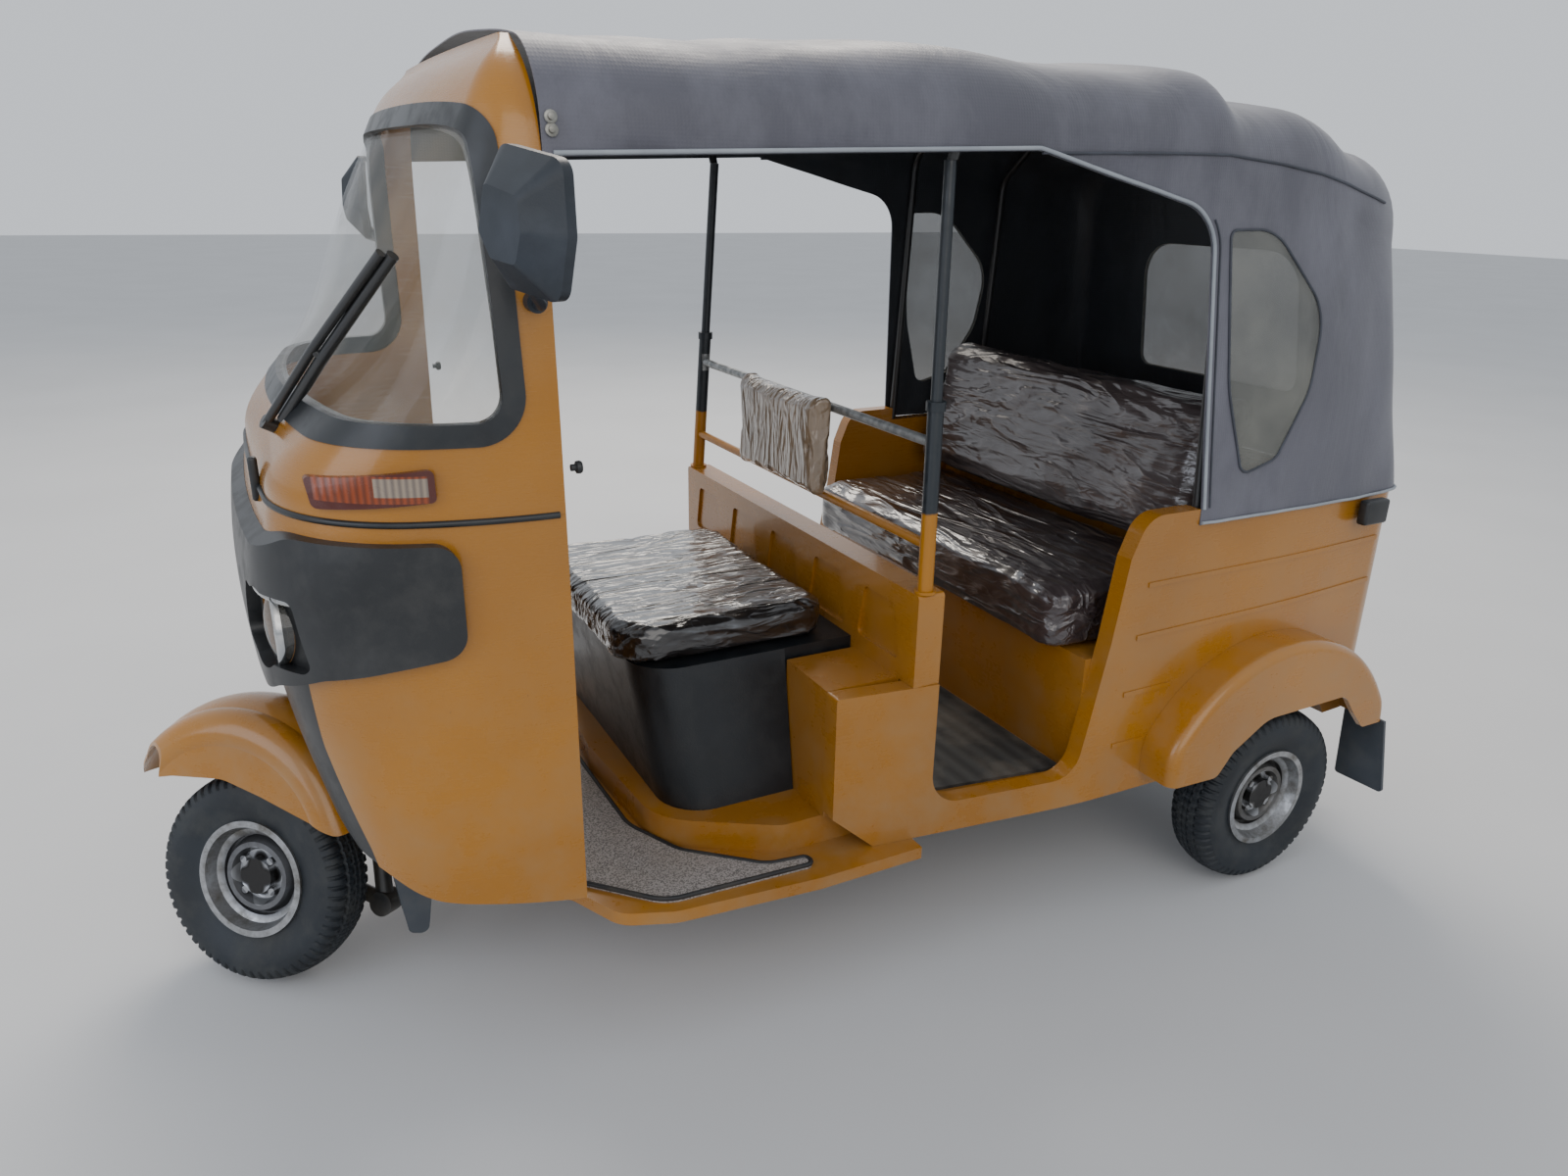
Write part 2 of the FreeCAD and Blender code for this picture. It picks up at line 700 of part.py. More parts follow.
def front_link():
    hub = FRONT_HUB + V(0, LEG_Y, 0)
    arm = rod(LINK_PIVOT, hub, LINK_ARM_RADIUS).cut([
        rod(LINK_PIVOT - V(0, 40, 0), LINK_PIVOT + V(0, 40, 0), LINK_BOSS_RADIUS + SEAT_GAP),
        tube(leg_points(), LEG_RADIUS + SEAT_GAP, 22),
    ])
    drum = rod(FRONT_HUB + V(0, -62, 0), FRONT_HUB + V(0, -94, 0), 46)
    axle = rod(FRONT_HUB + V(0, -62, 0), FRONT_HUB + V(0, -HUB_BACK - SEAT_GAP, 0), 9)
    return arm.fuse([drum, axle])


def handlebar():
    middle = steer_point(COLUMN_TOP + 22)
    pieces = []
    for side in (1, -1):
        elbow = middle + V(-10, side * 120, 10)
        wrist = V(middle.x - GRIP_BACK + 12, side * (GRIP_Y - 110), middle.z - 4)
        end = V(middle.x - GRIP_BACK, side * GRIP_Y, middle.z - 14)
        way = (end - wrist).normalize()
        pieces.append(tube([middle, elbow, wrist, end], HANDLEBAR_RADIUS, 34))
        pieces.append(rod(wrist + way * 16, end + way * 6, HANDLEBAR_RADIUS + 6))
    clamp = rod(steer_point(COLUMN_TOP + SEAT_GAP), steer_point(COLUMN_TOP + 44),
                COLUMN_RADIUS + 4)
    return clamp.fuse(pieces)


# Nose, screen and front furniture

def screen_prism(margin):
    """The side view of the windscreen hole, drawn in by margin from the rubber's edge."""
    low = SCREEN_LOW_Z + margin
    high = SCREEN_HIGH_Z - margin
    return side_prism([
        (SCREEN_REAR_X + margin, low, 70 - margin), (1200, low, 0), (1200, high, 0),
        (SCREEN_REAR_X + margin + 12, high, 60 - margin),
    ], -FAR, FAR)


def nose_opening(shrink):
    """The way for the front wheel and its mudguard through the apron's front."""
    edge = [(y - shrink, z - shrink * (z > 200), max(r - shrink, 0)) for y, z, r in OPENING_EDGE]
    return front_prism(mirrored(edge), OPENING_REAR_X, 1200)


def apron_foot_cut():
    """Everything under the apron's rising lower edge."""
    return side_prism([
        (600, 200, 0), (600, 349, 0), (862, 392, 120), (925, 440, 60), (1200, 452, 0), (1200, 200, 0),
    ], -FAR, FAR)


def lamp_holes(radius):
    front = [rod(V(880, side * LAMP_Y, LAMP_Z), V(1100, side * LAMP_Y, LAMP_Z), radius)
             for side in (1, -1)]
    return Part.makeCompound(front)


def front_apron():
    skin = apron_layer(0.0, APRON_WALL)
    return skin.cut(nose_opening(0.0)).cut(apron_foot_cut()).cut(lamp_holes(LAMP_RADIUS + SEAT_GAP))


def nose_panel():
    """The black panel behind the front wheel, inside the apron's opening."""
    panel = apron_layer(PANEL_INSET, APRON_WALL).common(nose_opening(SEAT_GAP)).cut(apron_foot_cut())
    wheel_hole = front_prism(mirrored([(WHEEL_HOLE_Y, 200, 0), (WHEEL_HOLE_Y, WHEEL_HOLE_TOP_Z, 60)]),
                             OPENING_REAR_X, 1200)
    return panel.cut([wheel_hole, lamp_holes(LAMP_RADIUS + SEAT_GAP)])


def windscreen_frame():
    """The upper nose with its header bow, which closes the hood's front edge."""
    skin = frame_layer(0.0, FRAME_WALL)
    row = HOOD_ROWS[0]
    bow = Part.makeLoft([
        hood_wire(row, HOOD_SKIN + SEAT_GAP, HEADER_LOW_Z, NOSE_REAR_X - row[0]),
        hood_wire(row, 27.0, HEADER_LOW_Z, HEADER_FRONT_X - row[0]),
    ], True, True)
    bow = bow.common(block(600, 700, -340, 340, HEADER_LOW_Z + 10, 1700))
    return skin.fuse(bow).cut(screen_prism(0.0))


def windscreen_gasket():
    ring = frame_layer(-GASKET_PROUD, GASKET_DEEP)
    return ring.common(screen_prism(SEAT_GAP)).cut(screen_prism(GASKET_BAND))


def windscreen_glass():
    sheet = frame_layer(GLASS_INSET, GLASS_INSET + GLASS_THICKNESS)
    return sheet.common(screen_prism(GASKET_BAND + SEAT_GAP))


def headlamp_bezel():
    """The black surround that wraps the nose, with a window a side."""
    band = apron_layer(-BEZEL_PROUD, -SEAT_GAP).common(side_prism([
        (774, 976, 34), (985, 978, 40), (1035, 940, 20), (1200, 935, 0), (1200, 700, 0),
        (1045, 705, 0), (1019, 745, 30), (964, 774, 60), (877, 793, 60), (774, 812, 40),
    ], -FAR, FAR))
    for side in (1, -1):
        band = band.cut(front_prism([
            (side * 160, 766, 16), (side * 414, 778, 16), (side * 389, 886, 18), (side * 222, 875, 18),
        ], 900, 1200))
    return band.cut(lamp_holes(LAMP_RADIUS + SEAT_GAP))


def headlamps():
    ahead = V(1, 0, 0)
    back = V(895, LAMP_Y, LAMP_Z)
    bowl = Part.makeCone(30, LAMP_RADIUS, 55, back, ahead)
    lens = Part.makeCylinder(LAMP_RADIUS, 62, back + V(55, 0, 0), ahead)
    sagitta = LAMP_DOME_RADIUS - math.sqrt(LAMP_DOME_RADIUS ** 2 - LAMP_RADIUS ** 2)
    dome = Part.makeSphere(LAMP_DOME_RADIUS, back + V(117 + sagitta - LAMP_DOME_RADIUS, 0, 0))
    dome = dome.common(Part.makeCylinder(LAMP_RADIUS, 40, back + V(117, 0, 0), ahead))
    return both_sides(bowl.fuse([lens, dome]))


def indicator_lamps():
    layer = nose_solid(FRAME_ROWS, -INDICATOR_PROUD).cut(
        nose_solid(FRAME_ROWS, -SEAT_GAP, NOSE_TAIL, 20, 20))
    lamp = layer.common(side_prism([
        (795, 1036, 8), (948, 1022, 8), (954, 1064, 8), (796, 1082, 8),
    ], 0, FAR))
    return both_sides(lamp)


def windscreen_wiper():
    """Hub on the cowl, arm and a thick blade that lies along the glass."""
    pivot = V(962, 165, 1090)
    out = V(0.83, 0.18, 0.5).normalize()
    hub = rod(pivot - out * 24, pivot + out * 26, 11).cut(nose_solid(FRAME_ROWS, -SEAT_GAP))
    knee = V(898, 268, 1212)
    tip = V(806, 372, 1350)
    lift = out * 15
    arm = tube([pivot + out * 20, knee + lift, tip + lift], 7, 120)
    blade = tube([V(956, 184, 1106), knee + V(0, 4, -4), tip + V(-3, 2, 4)], 9, 160)
    grip = rod(knee + lift, knee + V(0, 4, -4), 6)
    body = arm.fuse([blade, grip]).cut(nose_solid(FRAME_ROWS, -GASKET_PROUD - SEAT_GAP))
    body = max(body.Solids, key=lambda s: s.Volume)
    return hub.fuse(body)


def mirror_wire(corners, ahead):
    """One outline of the mirror's housing in its own frame, y outwards, ahead of the glass."""
    return outline(corners, lambda p: V(ahead, p.x, p.y))


def mirrors():
    face = [(-75, 1388, 14), (-48, 1328, 14), (54, 1316, 20), (75, 1392, 30), (72, 1476, 22), (-52, 1496, 20)]
    back = [(-44, 1396, 8), (-24, 1366, 8), (26, 1360, 10), (40, 1396, 14), (38, 1436, 10), (-28, 1450, 8)]
    housing = Part.makeLoft([mirror_wire(face, 0), mirror_wire(face, MIRROR_RIM)], True, True)
    housing = housing.fuse(Part.makeLoft([mirror_wire(face, MIRROR_RIM), mirror_wire(back, MIRROR_DEPTH)],
                                         True, True))
    housing = housing.removeSplitter()
    housing.rotate(V(0, 0, 0), V(0, 0, 1), MIRROR_TURN)
    housing.translate(V(*MIRROR_CENTRE, 0))
    stem = tube([V(646, 470, 1300), V(646, 535, 1298), V(694, 606, 1350)], 7, 14)
    foot = rod(V(646, 470, 1300), V(646, 512, 1300), 14)
    return both_sides(housing.fuse([stem, foot]).cut(nose_solid(FRAME_ROWS, -SEAT_GAP)))


def dashboard():
    low_fill = nose_solid(APRON_ROWS, APRON_WALL + SEAT_GAP)
    high_fill = nose_solid(FRAME_HOLLOW_ROWS, FRAME_WALL + SEAT_GAP, 0, 4, 0)
    body = side_prism([(905, 936, 20), (1100, 936, 0), (1100, 1078, 0), (930, 1078, 40)], -FAR, FAR)
    split = 1001.0
    low = low_fill.common(body).common(block(600, 1200, -FAR, FAR, 900, split))
    high = high_fill.common(body).common(block(600, 1200, -FAR, FAR, split, 1100))
    pod = side_prism([(868, 1020, 14), (930, 1010, 0), (930, 1070, 0), (880, 1086, 14)], -90, 90)
    return low.fuse([high, pod])


def front_bulkhead():
    fill = nose_solid(APRON_ROWS, APRON_WALL + SEAT_GAP, 0, APRON_LOW_Z - FLOOR_TOP_Z - SEAT_GAP, 0)
    foot = FLOOR_TOP_Z + SEAT_GAP
    plate = side_prism([
        (764, foot, 0), (780, foot, 0), (780, 552, 60), (848, 655, 60), (1100, 668, 0),
        (1100, 684, 0), (842, 672, 60), (764, 560, 60),
    ], -FAR, FAR)
    outboard = apron_foot_cut().cut(block(600, 1200, -BULKHEAD_FOOT_HALF, BULKHEAD_FOOT_HALF, 0, 500))
    plate = plate.common(fill).cut(outboard)
    return plate.cut(rod(steer_point(200), steer_point(800), HEAD_RADIUS + SEAT_GAP))


# Floors, chassis and sides

def neck_tube(radius):
    """The curved tube that carries the steering head from the chassis."""
    return tube([steer_point(600), V(735, 0, 640), V(NECK_FOOT_X, 0, 240)], radius, 60)


def driver_floor():
    plate = plan_prism(across([
        (-16, 552, 0), (200, 554, 0), (470, 530, 80), (560, 495, 60), (612, 388, 30), (700, 325, 60),
        (800, 255, 0),
    ]), FLOOR_BOTTOM_Z, FLOOR_TOP_Z)
    plinth = plan_prism([
        (4, -452, 0), (230, -452, 60), (430, -330, 130), (452, 0, 0), (430, 330, 130), (230, 452, 60),
        (4, 452, 0),
    ], FLOOR_TOP_Z - 1, PLINTH_Z)
    return plate.fuse(plinth).cut(neck_tube(NECK_RADIUS + SEAT_GAP))


def passenger_floor():
    room = interior(PASSENGER_FLOOR_Z - FLOOR_SHEET, PASSENGER_FLOOR_Z)
    return room.common(block(BENCH_FRONT_X, WALL_REAR_X - SEAT_GAP, -FAR, FAR, 300, 400))


def floor_mats():
    front = plan_prism([
        (196, -520, 12), (480, -506, 80), (596, -386, 30), (748, -270, 0), (748, 270, 0),
        (596, 386, 30), (480, 506, 80), (196, 520, 12), (200, 494, 10), (275, 484, 60), (400, 372, 90),
        (456, 250, 120), (460, 0, 0), (456, -250, 120), (400, -372, 90), (275, -484, 60),
        (200, -494, 10),
    ], FLOOR_TOP_Z + SEAT_GAP, FLOOR_TOP_Z + 8)
    front = front.cut(neck_tube(NECK_RADIUS + SEAT_GAP))
    rear = plan_prism(across([(BENCH_FRONT_X + 12, 500, 10), (WALL_REAR_X - 12, 456, 10)]),
                      PASSENGER_FLOOR_Z + SEAT_GAP, PASSENGER_FLOOR_Z + 7)
    return Part.makeCompound([front, rear])


def chassis_frame():
    pieces = []
    for side in (1, -1):
        low = side * RAIL_Y - RAIL_HALF
        high = side * RAIL_Y + RAIL_HALF
        house = sorted([side * HOUSE_Y, side * (HOUSE_Y + HOUSE_SHEET)])
        pieces.append(block(KICK_X, RAIL_FRONT_X, low, high, RAIL_LOW_Z, FLOOR_BOTTOM_Z - SEAT_GAP))
        pieces.append(block(KICK_X, KICK_X + KICK_LENGTH, low, high, RAIL_LOW_Z, UPPER_RAIL_HIGH_Z))
        pieces.append(block(-1214, KICK_X + 20, low, high, UPPER_RAIL_LOW_Z, UPPER_RAIL_HIGH_Z))
        pieces.append(block(-1200, KICK_X, house[0], house[1], 300, UPPER_RAIL_HIGH_Z))
    for x, half in CROSS_ROWS:
        pieces.append(block(x, x + CROSS_WIDTH, -half, half, RAIL_LOW_Z + 10, FLOOR_BOTTOM_Z - 10))
    for x, half in UPPER_CROSS_ROWS:
        pieces.append(block(x, x + 40, -half, half, 524, 556))
    head = rod(steer_point(HEAD_LOW), steer_point(HEAD_HIGH), HEAD_RADIUS)
    bore = rod(steer_point(HEAD_LOW - 20), steer_point(HEAD_HIGH + 20), COLUMN_RADIUS + SEAT_GAP)
    frame = pieces[0].fuse(pieces[1:] + [head, neck_tube(NECK_RADIUS)])
    return frame.cut(bore)


def fender_outline(inset):
    """Side-view corners of the rear fender's round top, front bottom to rear bottom."""
    arc = arc_corners(FENDER_ARC_X, FENDER_ARC_Z, FENDER_ARC_RADIUS - inset, 35, 145, 3)
    front = [(-546 - inset, 250, 0), (-543.6 - inset, 398.5 - inset * 0.3, 80 - inset)]
    rear = [(-1198 + inset, 390 - inset * 0.3, 90 - inset), (-1206 + inset, 250, 0)]
    return front + arc + rear


def body_side():
    """The left body side: step box side, door sill and rear quarter, in one pressing."""
    outer = side_plan(0.0)
    inner = side_plan(SIDE_WALL)
    corners = outer + [(REAR_FACE_X, REAR_RETURN_Y, 0), (REAR_FACE_X + REAR_WALL, REAR_RETURN_Y, 0)]
    wall = plan_prism(corners + inner[::-1], FLOOR_TOP_Z + SEAT_GAP, BELT_Z)
    hood_foot = HEM_Z - SEAT_GAP
    view = side_prism([
        (STEP_FRONT_X, STEP_TOP_Z, 6), (WALL_REAR_X + 2, STEP_TOP_Z, 0),
        (WALL_REAR_X + 2, SILL_TOP_Z + 60, 0), (WALL_REAR_X - 8, SILL_TOP_Z, 62),
        (-372, SILL_TOP_Z, 62), (-424, 633, 0), (-447, 800, 0), (-480, BELT_Z, 56),
        (HOOD_DOOR_X + SEAT_GAP, BELT_Z, 0), (HOOD_DOOR_X + SEAT_GAP, hood_foot, 0),
        (-1300, hood_foot, 0), (-1300, PANEL_LOW_Z, 0), (-1120, PANEL_LOW_Z, 0),
        (-640, FLOOR_TOP_Z, 0), (66, FLOOR_TOP_Z, 0), (STEP_FRONT_X, 362, 0),
    ], 300, FAR)
    arch = rod(V(REAR_AXLE_X, 300, TYRE_RADIUS), V(REAR_AXLE_X, FAR, TYRE_RADIUS), WHEEL_ARCH_RADIUS)
    wall = wall.common(view).cut(arch)
    grown = [(x, y + SWAGE_PROUD, r + SWAGE_PROUD * (r > 0)) for x, y, r in outer[:3]]
    grown = grown + [(-1185, grown[2][1] - 14, 0)]
    sunk = [(x, y - 8, 0) for x, y, r in grown[::-1]]
    for front_z, rear_x, rear_z in SWAGE_ROWS:
        start = -500 + (742 - front_z) * 0.12
        bead = side_prism([
            (start, front_z - SWAGE_HALF, 0), (start, front_z + SWAGE_HALF, 0),
            (rear_x, rear_z + SWAGE_HALF, 0), (rear_x, rear_z - SWAGE_HALF, 0),
        ], 300, FAR)
        skin = plan_prism(grown + sunk, front_z - 40, rear_z + 40)
        wall = wall.fuse(bead.common(skin))
    return wall


def rear_panel():
    reach = REAR_RETURN_Y - SEAT_GAP
    inside = REAR_FACE_X + REAR_WALL
    panel = block(REAR_FACE_X, inside, -reach, reach, PANEL_LOW_Z, HEM_Z - SEAT_GAP)
    holes = [block(REAR_FACE_X - 5, inside + 5, -LID_HALF_WIDTH, LID_HALF_WIDTH, LID_LOW_Z, LID_HIGH_Z)]
    for side in (1, -1):
        spot = V(REAR_FACE_X - 5, side * PLATE_HOLE_Y, PLATE_HOLE_Z)
        holes.append(rod(spot, spot + V(REAR_WALL + 10, 0, 0), PLATE_HOLE_RADIUS))
    return panel.cut(holes).fuse(hinge_halves(HINGE_Z, LID_HIGH_Z, [(60, 79.7), (120.3, 140)]))


def hinge_halves(z0, z1, spans):
    """Knuckles with their leaves on the rear face, for each span of |y|."""
    pieces = []
    for near, far in spans:
        for side in (1, -1):
            y0, y1 = sorted([side * near, side * far])
            pieces.append(rod(V(HINGE_X, y0, HINGE_Z), V(HINGE_X, y1, HINGE_Z), KNUCKLE_RADIUS))
            if z1 > HINGE_Z:
                pieces.append(block(HINGE_X, REAR_FACE_X, y0, y1, z1 + 1, z1 + 5))
                pieces.append(block(HINGE_X - HINGE_LEAF, HINGE_X, y0, y1, z0, z1 + 5))
            else:
                pieces.append(block(HINGE_X, REAR_FACE_X, y0, y1, z1 - 6, z1 - 2))
                pieces.append(block(HINGE_X - HINGE_LEAF, HINGE_X, y0, y1, z1 - 6, z0))
    return pieces


def rear_lid():
    half = LID_HALF_WIDTH - LID_GAP
    top = LID_HIGH_Z - LID_GAP
    plate = block(REAR_FACE_X, REAR_FACE_X + LID_SHEET, -half, half, LID_LOW_Z + LID_GAP, top)
    plate = plate.makeFillet(6, [e for e in plate.Edges if abs(e.BoundBox.XLength - LID_SHEET) < 0.1])
    slots = []
    for i in range(7):
        z = 520 + 34 * i
        slots.append(front_prism(mirrored([(200, z, 5), (200, z + 14, 5)]),
                                 REAR_FACE_X - 5, REAR_FACE_X + LID_SHEET + 5))
    handle = block(REAR_FACE_X - 16, REAR_FACE_X + 1, -40, 40, 462, 480)
    return plate.cut(slots).fuse([handle] + hinge_halves(HINGE_Z, top, [(80, 120)]))


def partition_wall():
    pieces = [block(WALL_REAR_X, WALL_FRONT_X, -WALL_LOW_HALF, WALL_LOW_HALF, FLOOR_TOP_Z + SEAT_GAP,
                    STEP_TOP_Z + 2)]
    for side in (1, -1):
        y0, y1 = sorted([side * STEP_INNER_Y, side * STEP_OUTER_Y])
        pieces.append(block(WALL_FRONT_X - 1, STEP_FRONT_X - 2, y0, y1, PLINTH_Z + SEAT_GAP, STEP_TOP_Z))
    wall = front_prism([
        (-WALL_HALF_WIDTH, STEP_TOP_Z + SEAT_GAP, 0), (WALL_HALF_WIDTH, STEP_TOP_Z + SEAT_GAP, 0),
        (WALL_HALF_WIDTH, WALL_TOP_Z, 8), (-WALL_HALF_WIDTH, WALL_TOP_Z, 8),
    ], WALL_REAR_X, WALL_FRONT_X).fuse(pieces)
    for centre in (-390, -195, 0, 195, 390):
        wall = wall.cut(front_prism([
            (centre - 74, 640, 12), (centre + 74, 640, 12), (centre + 52, 744, 12),
            (centre - 52, 744, 12),
        ], WALL_FRONT_X - 6, WALL_FRONT_X + 5))
    return wall


def post_point(side, z):
    """The middle of a partition post at height z."""
    share = (z - WALL_TOP_Z) / (POST_TOP_Z - WALL_TOP_Z)
    x = POST_X + (POST_TOP_X - POST_X) * share
    y = POST_FOOT_Y + (POST_TOP_Y - POST_FOOT_Y) * share
    return V(x, side * y, z)


def partition_frame():
    pieces = []
    for side in (1, -1):
        base = post_point(side, WALL_TOP_Z + SEAT_GAP)
        collar = post_point(side, POST_COLLAR_Z)
        pieces.append(rod(base, base + V(0, 0, 5), POST_RADIUS + 6))
        pieces.append(rod(base + V(0, 0, 2), collar, POST_RADIUS))
        pieces.append(rod(collar - V(0, 0, 10), collar + V(0, 0, 6), POST_RADIUS + 3))
        pieces.append(rod(collar - V(0, 0, 2), post_point(side, POST_TOP_Z + 10), POST_UPPER_RADIUS))
    for z in RAIL_LEVELS:
        pieces.append(rod(post_point(1, z), post_point(-1, z), RAIL_RADIUS))
    frame = pieces[0].fuse(pieces[1:])
    return frame.cut(block(-100, 50, -FAR, FAR, POST_TOP_Z, POST_TOP_Z + 60))


def rear_inner():
    """The bench riser, the bench deck and the parcel shelf behind the backrest."""
    room = interior(PASSENGER_FLOOR_Z - FLOOR_SHEET, SHELF_Z)
    riser = block(BENCH_FRONT_X - BENCH_SHEET - 4, BENCH_FRONT_X - SEAT_GAP, -FAR, FAR, 300, BENCH_TOP_Z)
    deck = block(BENCH_BACK_X, BENCH_FRONT_X - BENCH_SHEET, -FAR, FAR, BENCH_TOP_Z - BENCH_SHEET, BENCH_TOP_Z)
    back = block(BENCH_BACK_X, BENCH_BACK_X + BENCH_SHEET, -FAR, FAR, BENCH_TOP_Z - 1, SHELF_Z)
    shelf = block(REAR_FACE_X + REAR_WALL + SEAT_GAP, BENCH_BACK_X + 1, -FAR, FAR, SHELF_Z - 14, SHELF_Z)
    return room.common(riser.fuse([deck, back, shelf]))


def rear_fenders():
    grown = [(x, y + SEAT_GAP, r + SEAT_GAP * (r > 0)) for x, y, r in side_plan(0.0)]
    body = plan_prism(across(grown), 200, 700)
    top = fender_outline(0.0)[1:-1]
    solid = side_prism([(-546, 326, 0)] + top + [
        (-1206, FENDER_REAR_Z, 0), (-1127, FENDER_REAR_Z, 14), (-1088, 380, 30), (-1046, 431, 34),
        (-806, 428, 90), (-714, 372, 40), (-676, 322, 24),
    ], 530, FENDER_OUTER_Y)
    edges = [e for e in solid.Edges
             if e.BoundBox.YMin > FENDER_OUTER_Y - 0.1 and e.BoundBox.ZMax > 400
             and (e.CenterOfMass.z > 440 or e.CenterOfMass.x < -1190 or e.CenterOfMass.x > -600)]
    solid = solid.makeFillet(FENDER_EDGE_RADIUS, edges)
    cavity = side_prism(fender_outline(FENDER_TOP_WALL), 500, FENDER_OUTER_Y - FENDER_WALL)
    wheelway = rod(V(REAR_AXLE_X, 500, TYRE_RADIUS),
                   V(REAR_AXLE_X, FENDER_OUTER_Y - FENDER_WALL, TYRE_RADIUS), WHEELWAY_RADIUS)
    fender = solid.cut([cavity, wheelway, body])
    return both_sides(max(fender.Solids, key=lambda s: s.Volume))


def mudflaps():
    top = FENDER_REAR_Z - SEAT_GAP
    flap = front_prism([(564, 166, 8), (685, 170, 8), (655, top, 0), (556, top, 0)], -1204, -1197)
    return both_sides(flap)


def tail_lamps():
    lamp = front_prism([
        (TAIL_LAMP_Y[0], 430, 12), (TAIL_LAMP_Y[1], 430, 12), (TAIL_LAMP_Y[1], 520, 12),
        (TAIL_LAMP_Y[0], 520, 12),
    ], REAR_FACE_X - TAIL_LAMP_DEPTH, REAR_FACE_X - SEAT_GAP)
    return both_sides(lamp)


def rear_bumper():
    x = REAR_FACE_X - BUMPER_OUT
    y, z = BUMPER_FOOT_Y, BUMPER_Z
    bar = tube([V(REAR_FACE_X + 4, y, z), V(x, y, z), V(x, -y, z), V(REAR_FACE_X + 4, -y, z)], 16, 36)
    feet = []
    for side in (1, -1):
        y0, y1 = sorted([side * (y - 20), side * (y + 20)])
        feet.append(block(REAR_FACE_X - 6, REAR_FACE_X + REAR_WALL, y0, y1, z - 20, PANEL_LOW_Z - SEAT_GAP))
    return bar.fuse(feet)


# Seats

def seat_box_wire(z, front_x, half):
    corners = [
        (STEP_FRONT_X + SEAT_GAP, -half, 0), (front_x, -half, 90), (front_x, half, 90),
        (STEP_FRONT_X + SEAT_GAP, half, 0),
    ]
    return outline(corners, lambda p: V(p.x, p.y, z))


def driver_seat_box():
    low = PLINTH_Z + SEAT_GAP
    box = Part.makeLoft([
        seat_box_wire(low, SEAT_BOX_FRONT_X, SEAT_BOX_HALF_WIDTH),
        seat_box_wire(SEAT_BOX_TOP_Z, SEAT_TOP_FRONT_X, SEAT_TOP_HALF_WIDTH),
    ], True, True)
    back_half = STEP_INNER_Y - SEAT_GAP
    rear = block(SEAT_BOX_REAR_X, STEP_FRONT_X + 2, -SEAT_TOP_HALF_WIDTH + 2, SEAT_TOP_HALF_WIDTH - 2,
                 low, SEAT_BOX_TOP_Z)
    foot = block(SEAT_BOX_REAR_X, STEP_FRONT_X + 2, -back_half, back_half, low, low + 120)
    plinth_cut = block(SEAT_BOX_REAR_X - 5, 600, -FAR, FAR, low - 50, low)
    return box.fuse([rear, foot]).cut(plinth_cut)


def driver_seat_cushion():
    return plan_prism([
        (20, -302, 60), (SEAT_CUSHION_FRONT_X, -302, 90), (SEAT_CUSHION_FRONT_X, 302, 90), (20, 302, 60),
    ], SEAT_BOX_TOP_Z + SEAT_GAP, SEAT_CUSHION_TOP_Z)


def rail_front(z):
    """The front of the partition rails' common tangent plane at height z."""
    low, high = RAIL_LEVELS
    slope = (post_point(1, high).x - post_point(1, low).x) / (high - low)
    reach = (RAIL_RADIUS + SEAT_GAP) * math.sqrt(1 + slope ** 2)
    return post_point(1, low).x + slope * (z - low) + reach


def driver_backrest():
    return side_prism([
        (rail_front(862), 862, 14), (32, 862, 22), (30, 1080, 22), (rail_front(1080), 1080, 14),
    ], -178, 178)


def passenger_seat_cushion():
    low = BENCH_TOP_Z + SEAT_GAP
    half = BENCH_CUSHION_HALF
    rear = BENCH_BACK_X + 26
    return plan_prism([
        (rear, -half, 20), (BENCH_CUSHION_FRONT_X, -half + 6, 50), (BENCH_CUSHION_FRONT_X, half - 6, 50),
        (rear, half, 20),
    ], low, BENCH_TOP_Z + CUSHION_THICKNESS)


def passenger_backrest():
    low = BENCH_TOP_Z + CUSHION_THICKNESS + SEAT_GAP
    rear = BENCH_BACK_X + BENCH_SHEET + SEAT_GAP
    return side_prism([
        (rear, low, 8), (rear + 154, low, 40), (rear + 54, 1080, 50), (rear - 68, 1076, 40),
        (rear, SHELF_Z + 12, 0),
    ], -485, 485)


# Hood

def hood_solid(inset, low, front, rear):
    """The hood as a full body through its arches, drawn in by inset."""
    wires = []
    for i, row in enumerate(HOOD_ROWS):
        shift = 0.0
        if i == 0:
            shift = front
        if i == len(HOOD_ROWS) - 1:
            shift = rear
        wires.append(hood_wire(row, inset, low, shift))
    return Part.makeLoft(wires, True, True)


def door_opening():
    """The side view of the open sides under the hood."""
    return side_prism([
        (900, 700, 0), (900, 1472, 0), (-185, 1511, 40), (-575, 1417, 90), (HOOD_DOOR_X, BELT_Z, 0),
        (HOOD_DOOR_X, 700, 0),
    ], -FAR, FAR)


def side_window(s):
    """The side view of the hood's side windows, drawn in by s."""
    return side_prism([
        (-622 - s, 1390 - s, 14), (-740, 1392 - s, 120), (-900 + s, 1240, 110), (-880 + s, 1090, 120),
        (-800 + s, 962 + s, 40), (-706 - s, 938 + s, 26), (-652 - s, 1110, 300),
    ], -FAR, FAR)


def rear_window(s):
    """The rear view of the hood's rear window, drawn in by s."""
    return front_prism(mirrored([(250 - s, 1010 + s, 30), (235 - s, 1330 - s, 90)]), -1300, -1120)


def hood_shell():
    outer = hood_solid(0.0, HEM_Z, 0.0, 0.0)
    inner = hood_solid(HOOD_SKIN, HEM_Z - 40, 10.0, HOOD_SKIN)
    return outer.cut(inner).cut(door_opening())


def hood_windows(shell):
    sides = shell.common(side_window(SEAT_GAP))
    back = shell.common(rear_window(SEAT_GAP))
    return Part.makeCompound(sides.Solids + back.Solids)


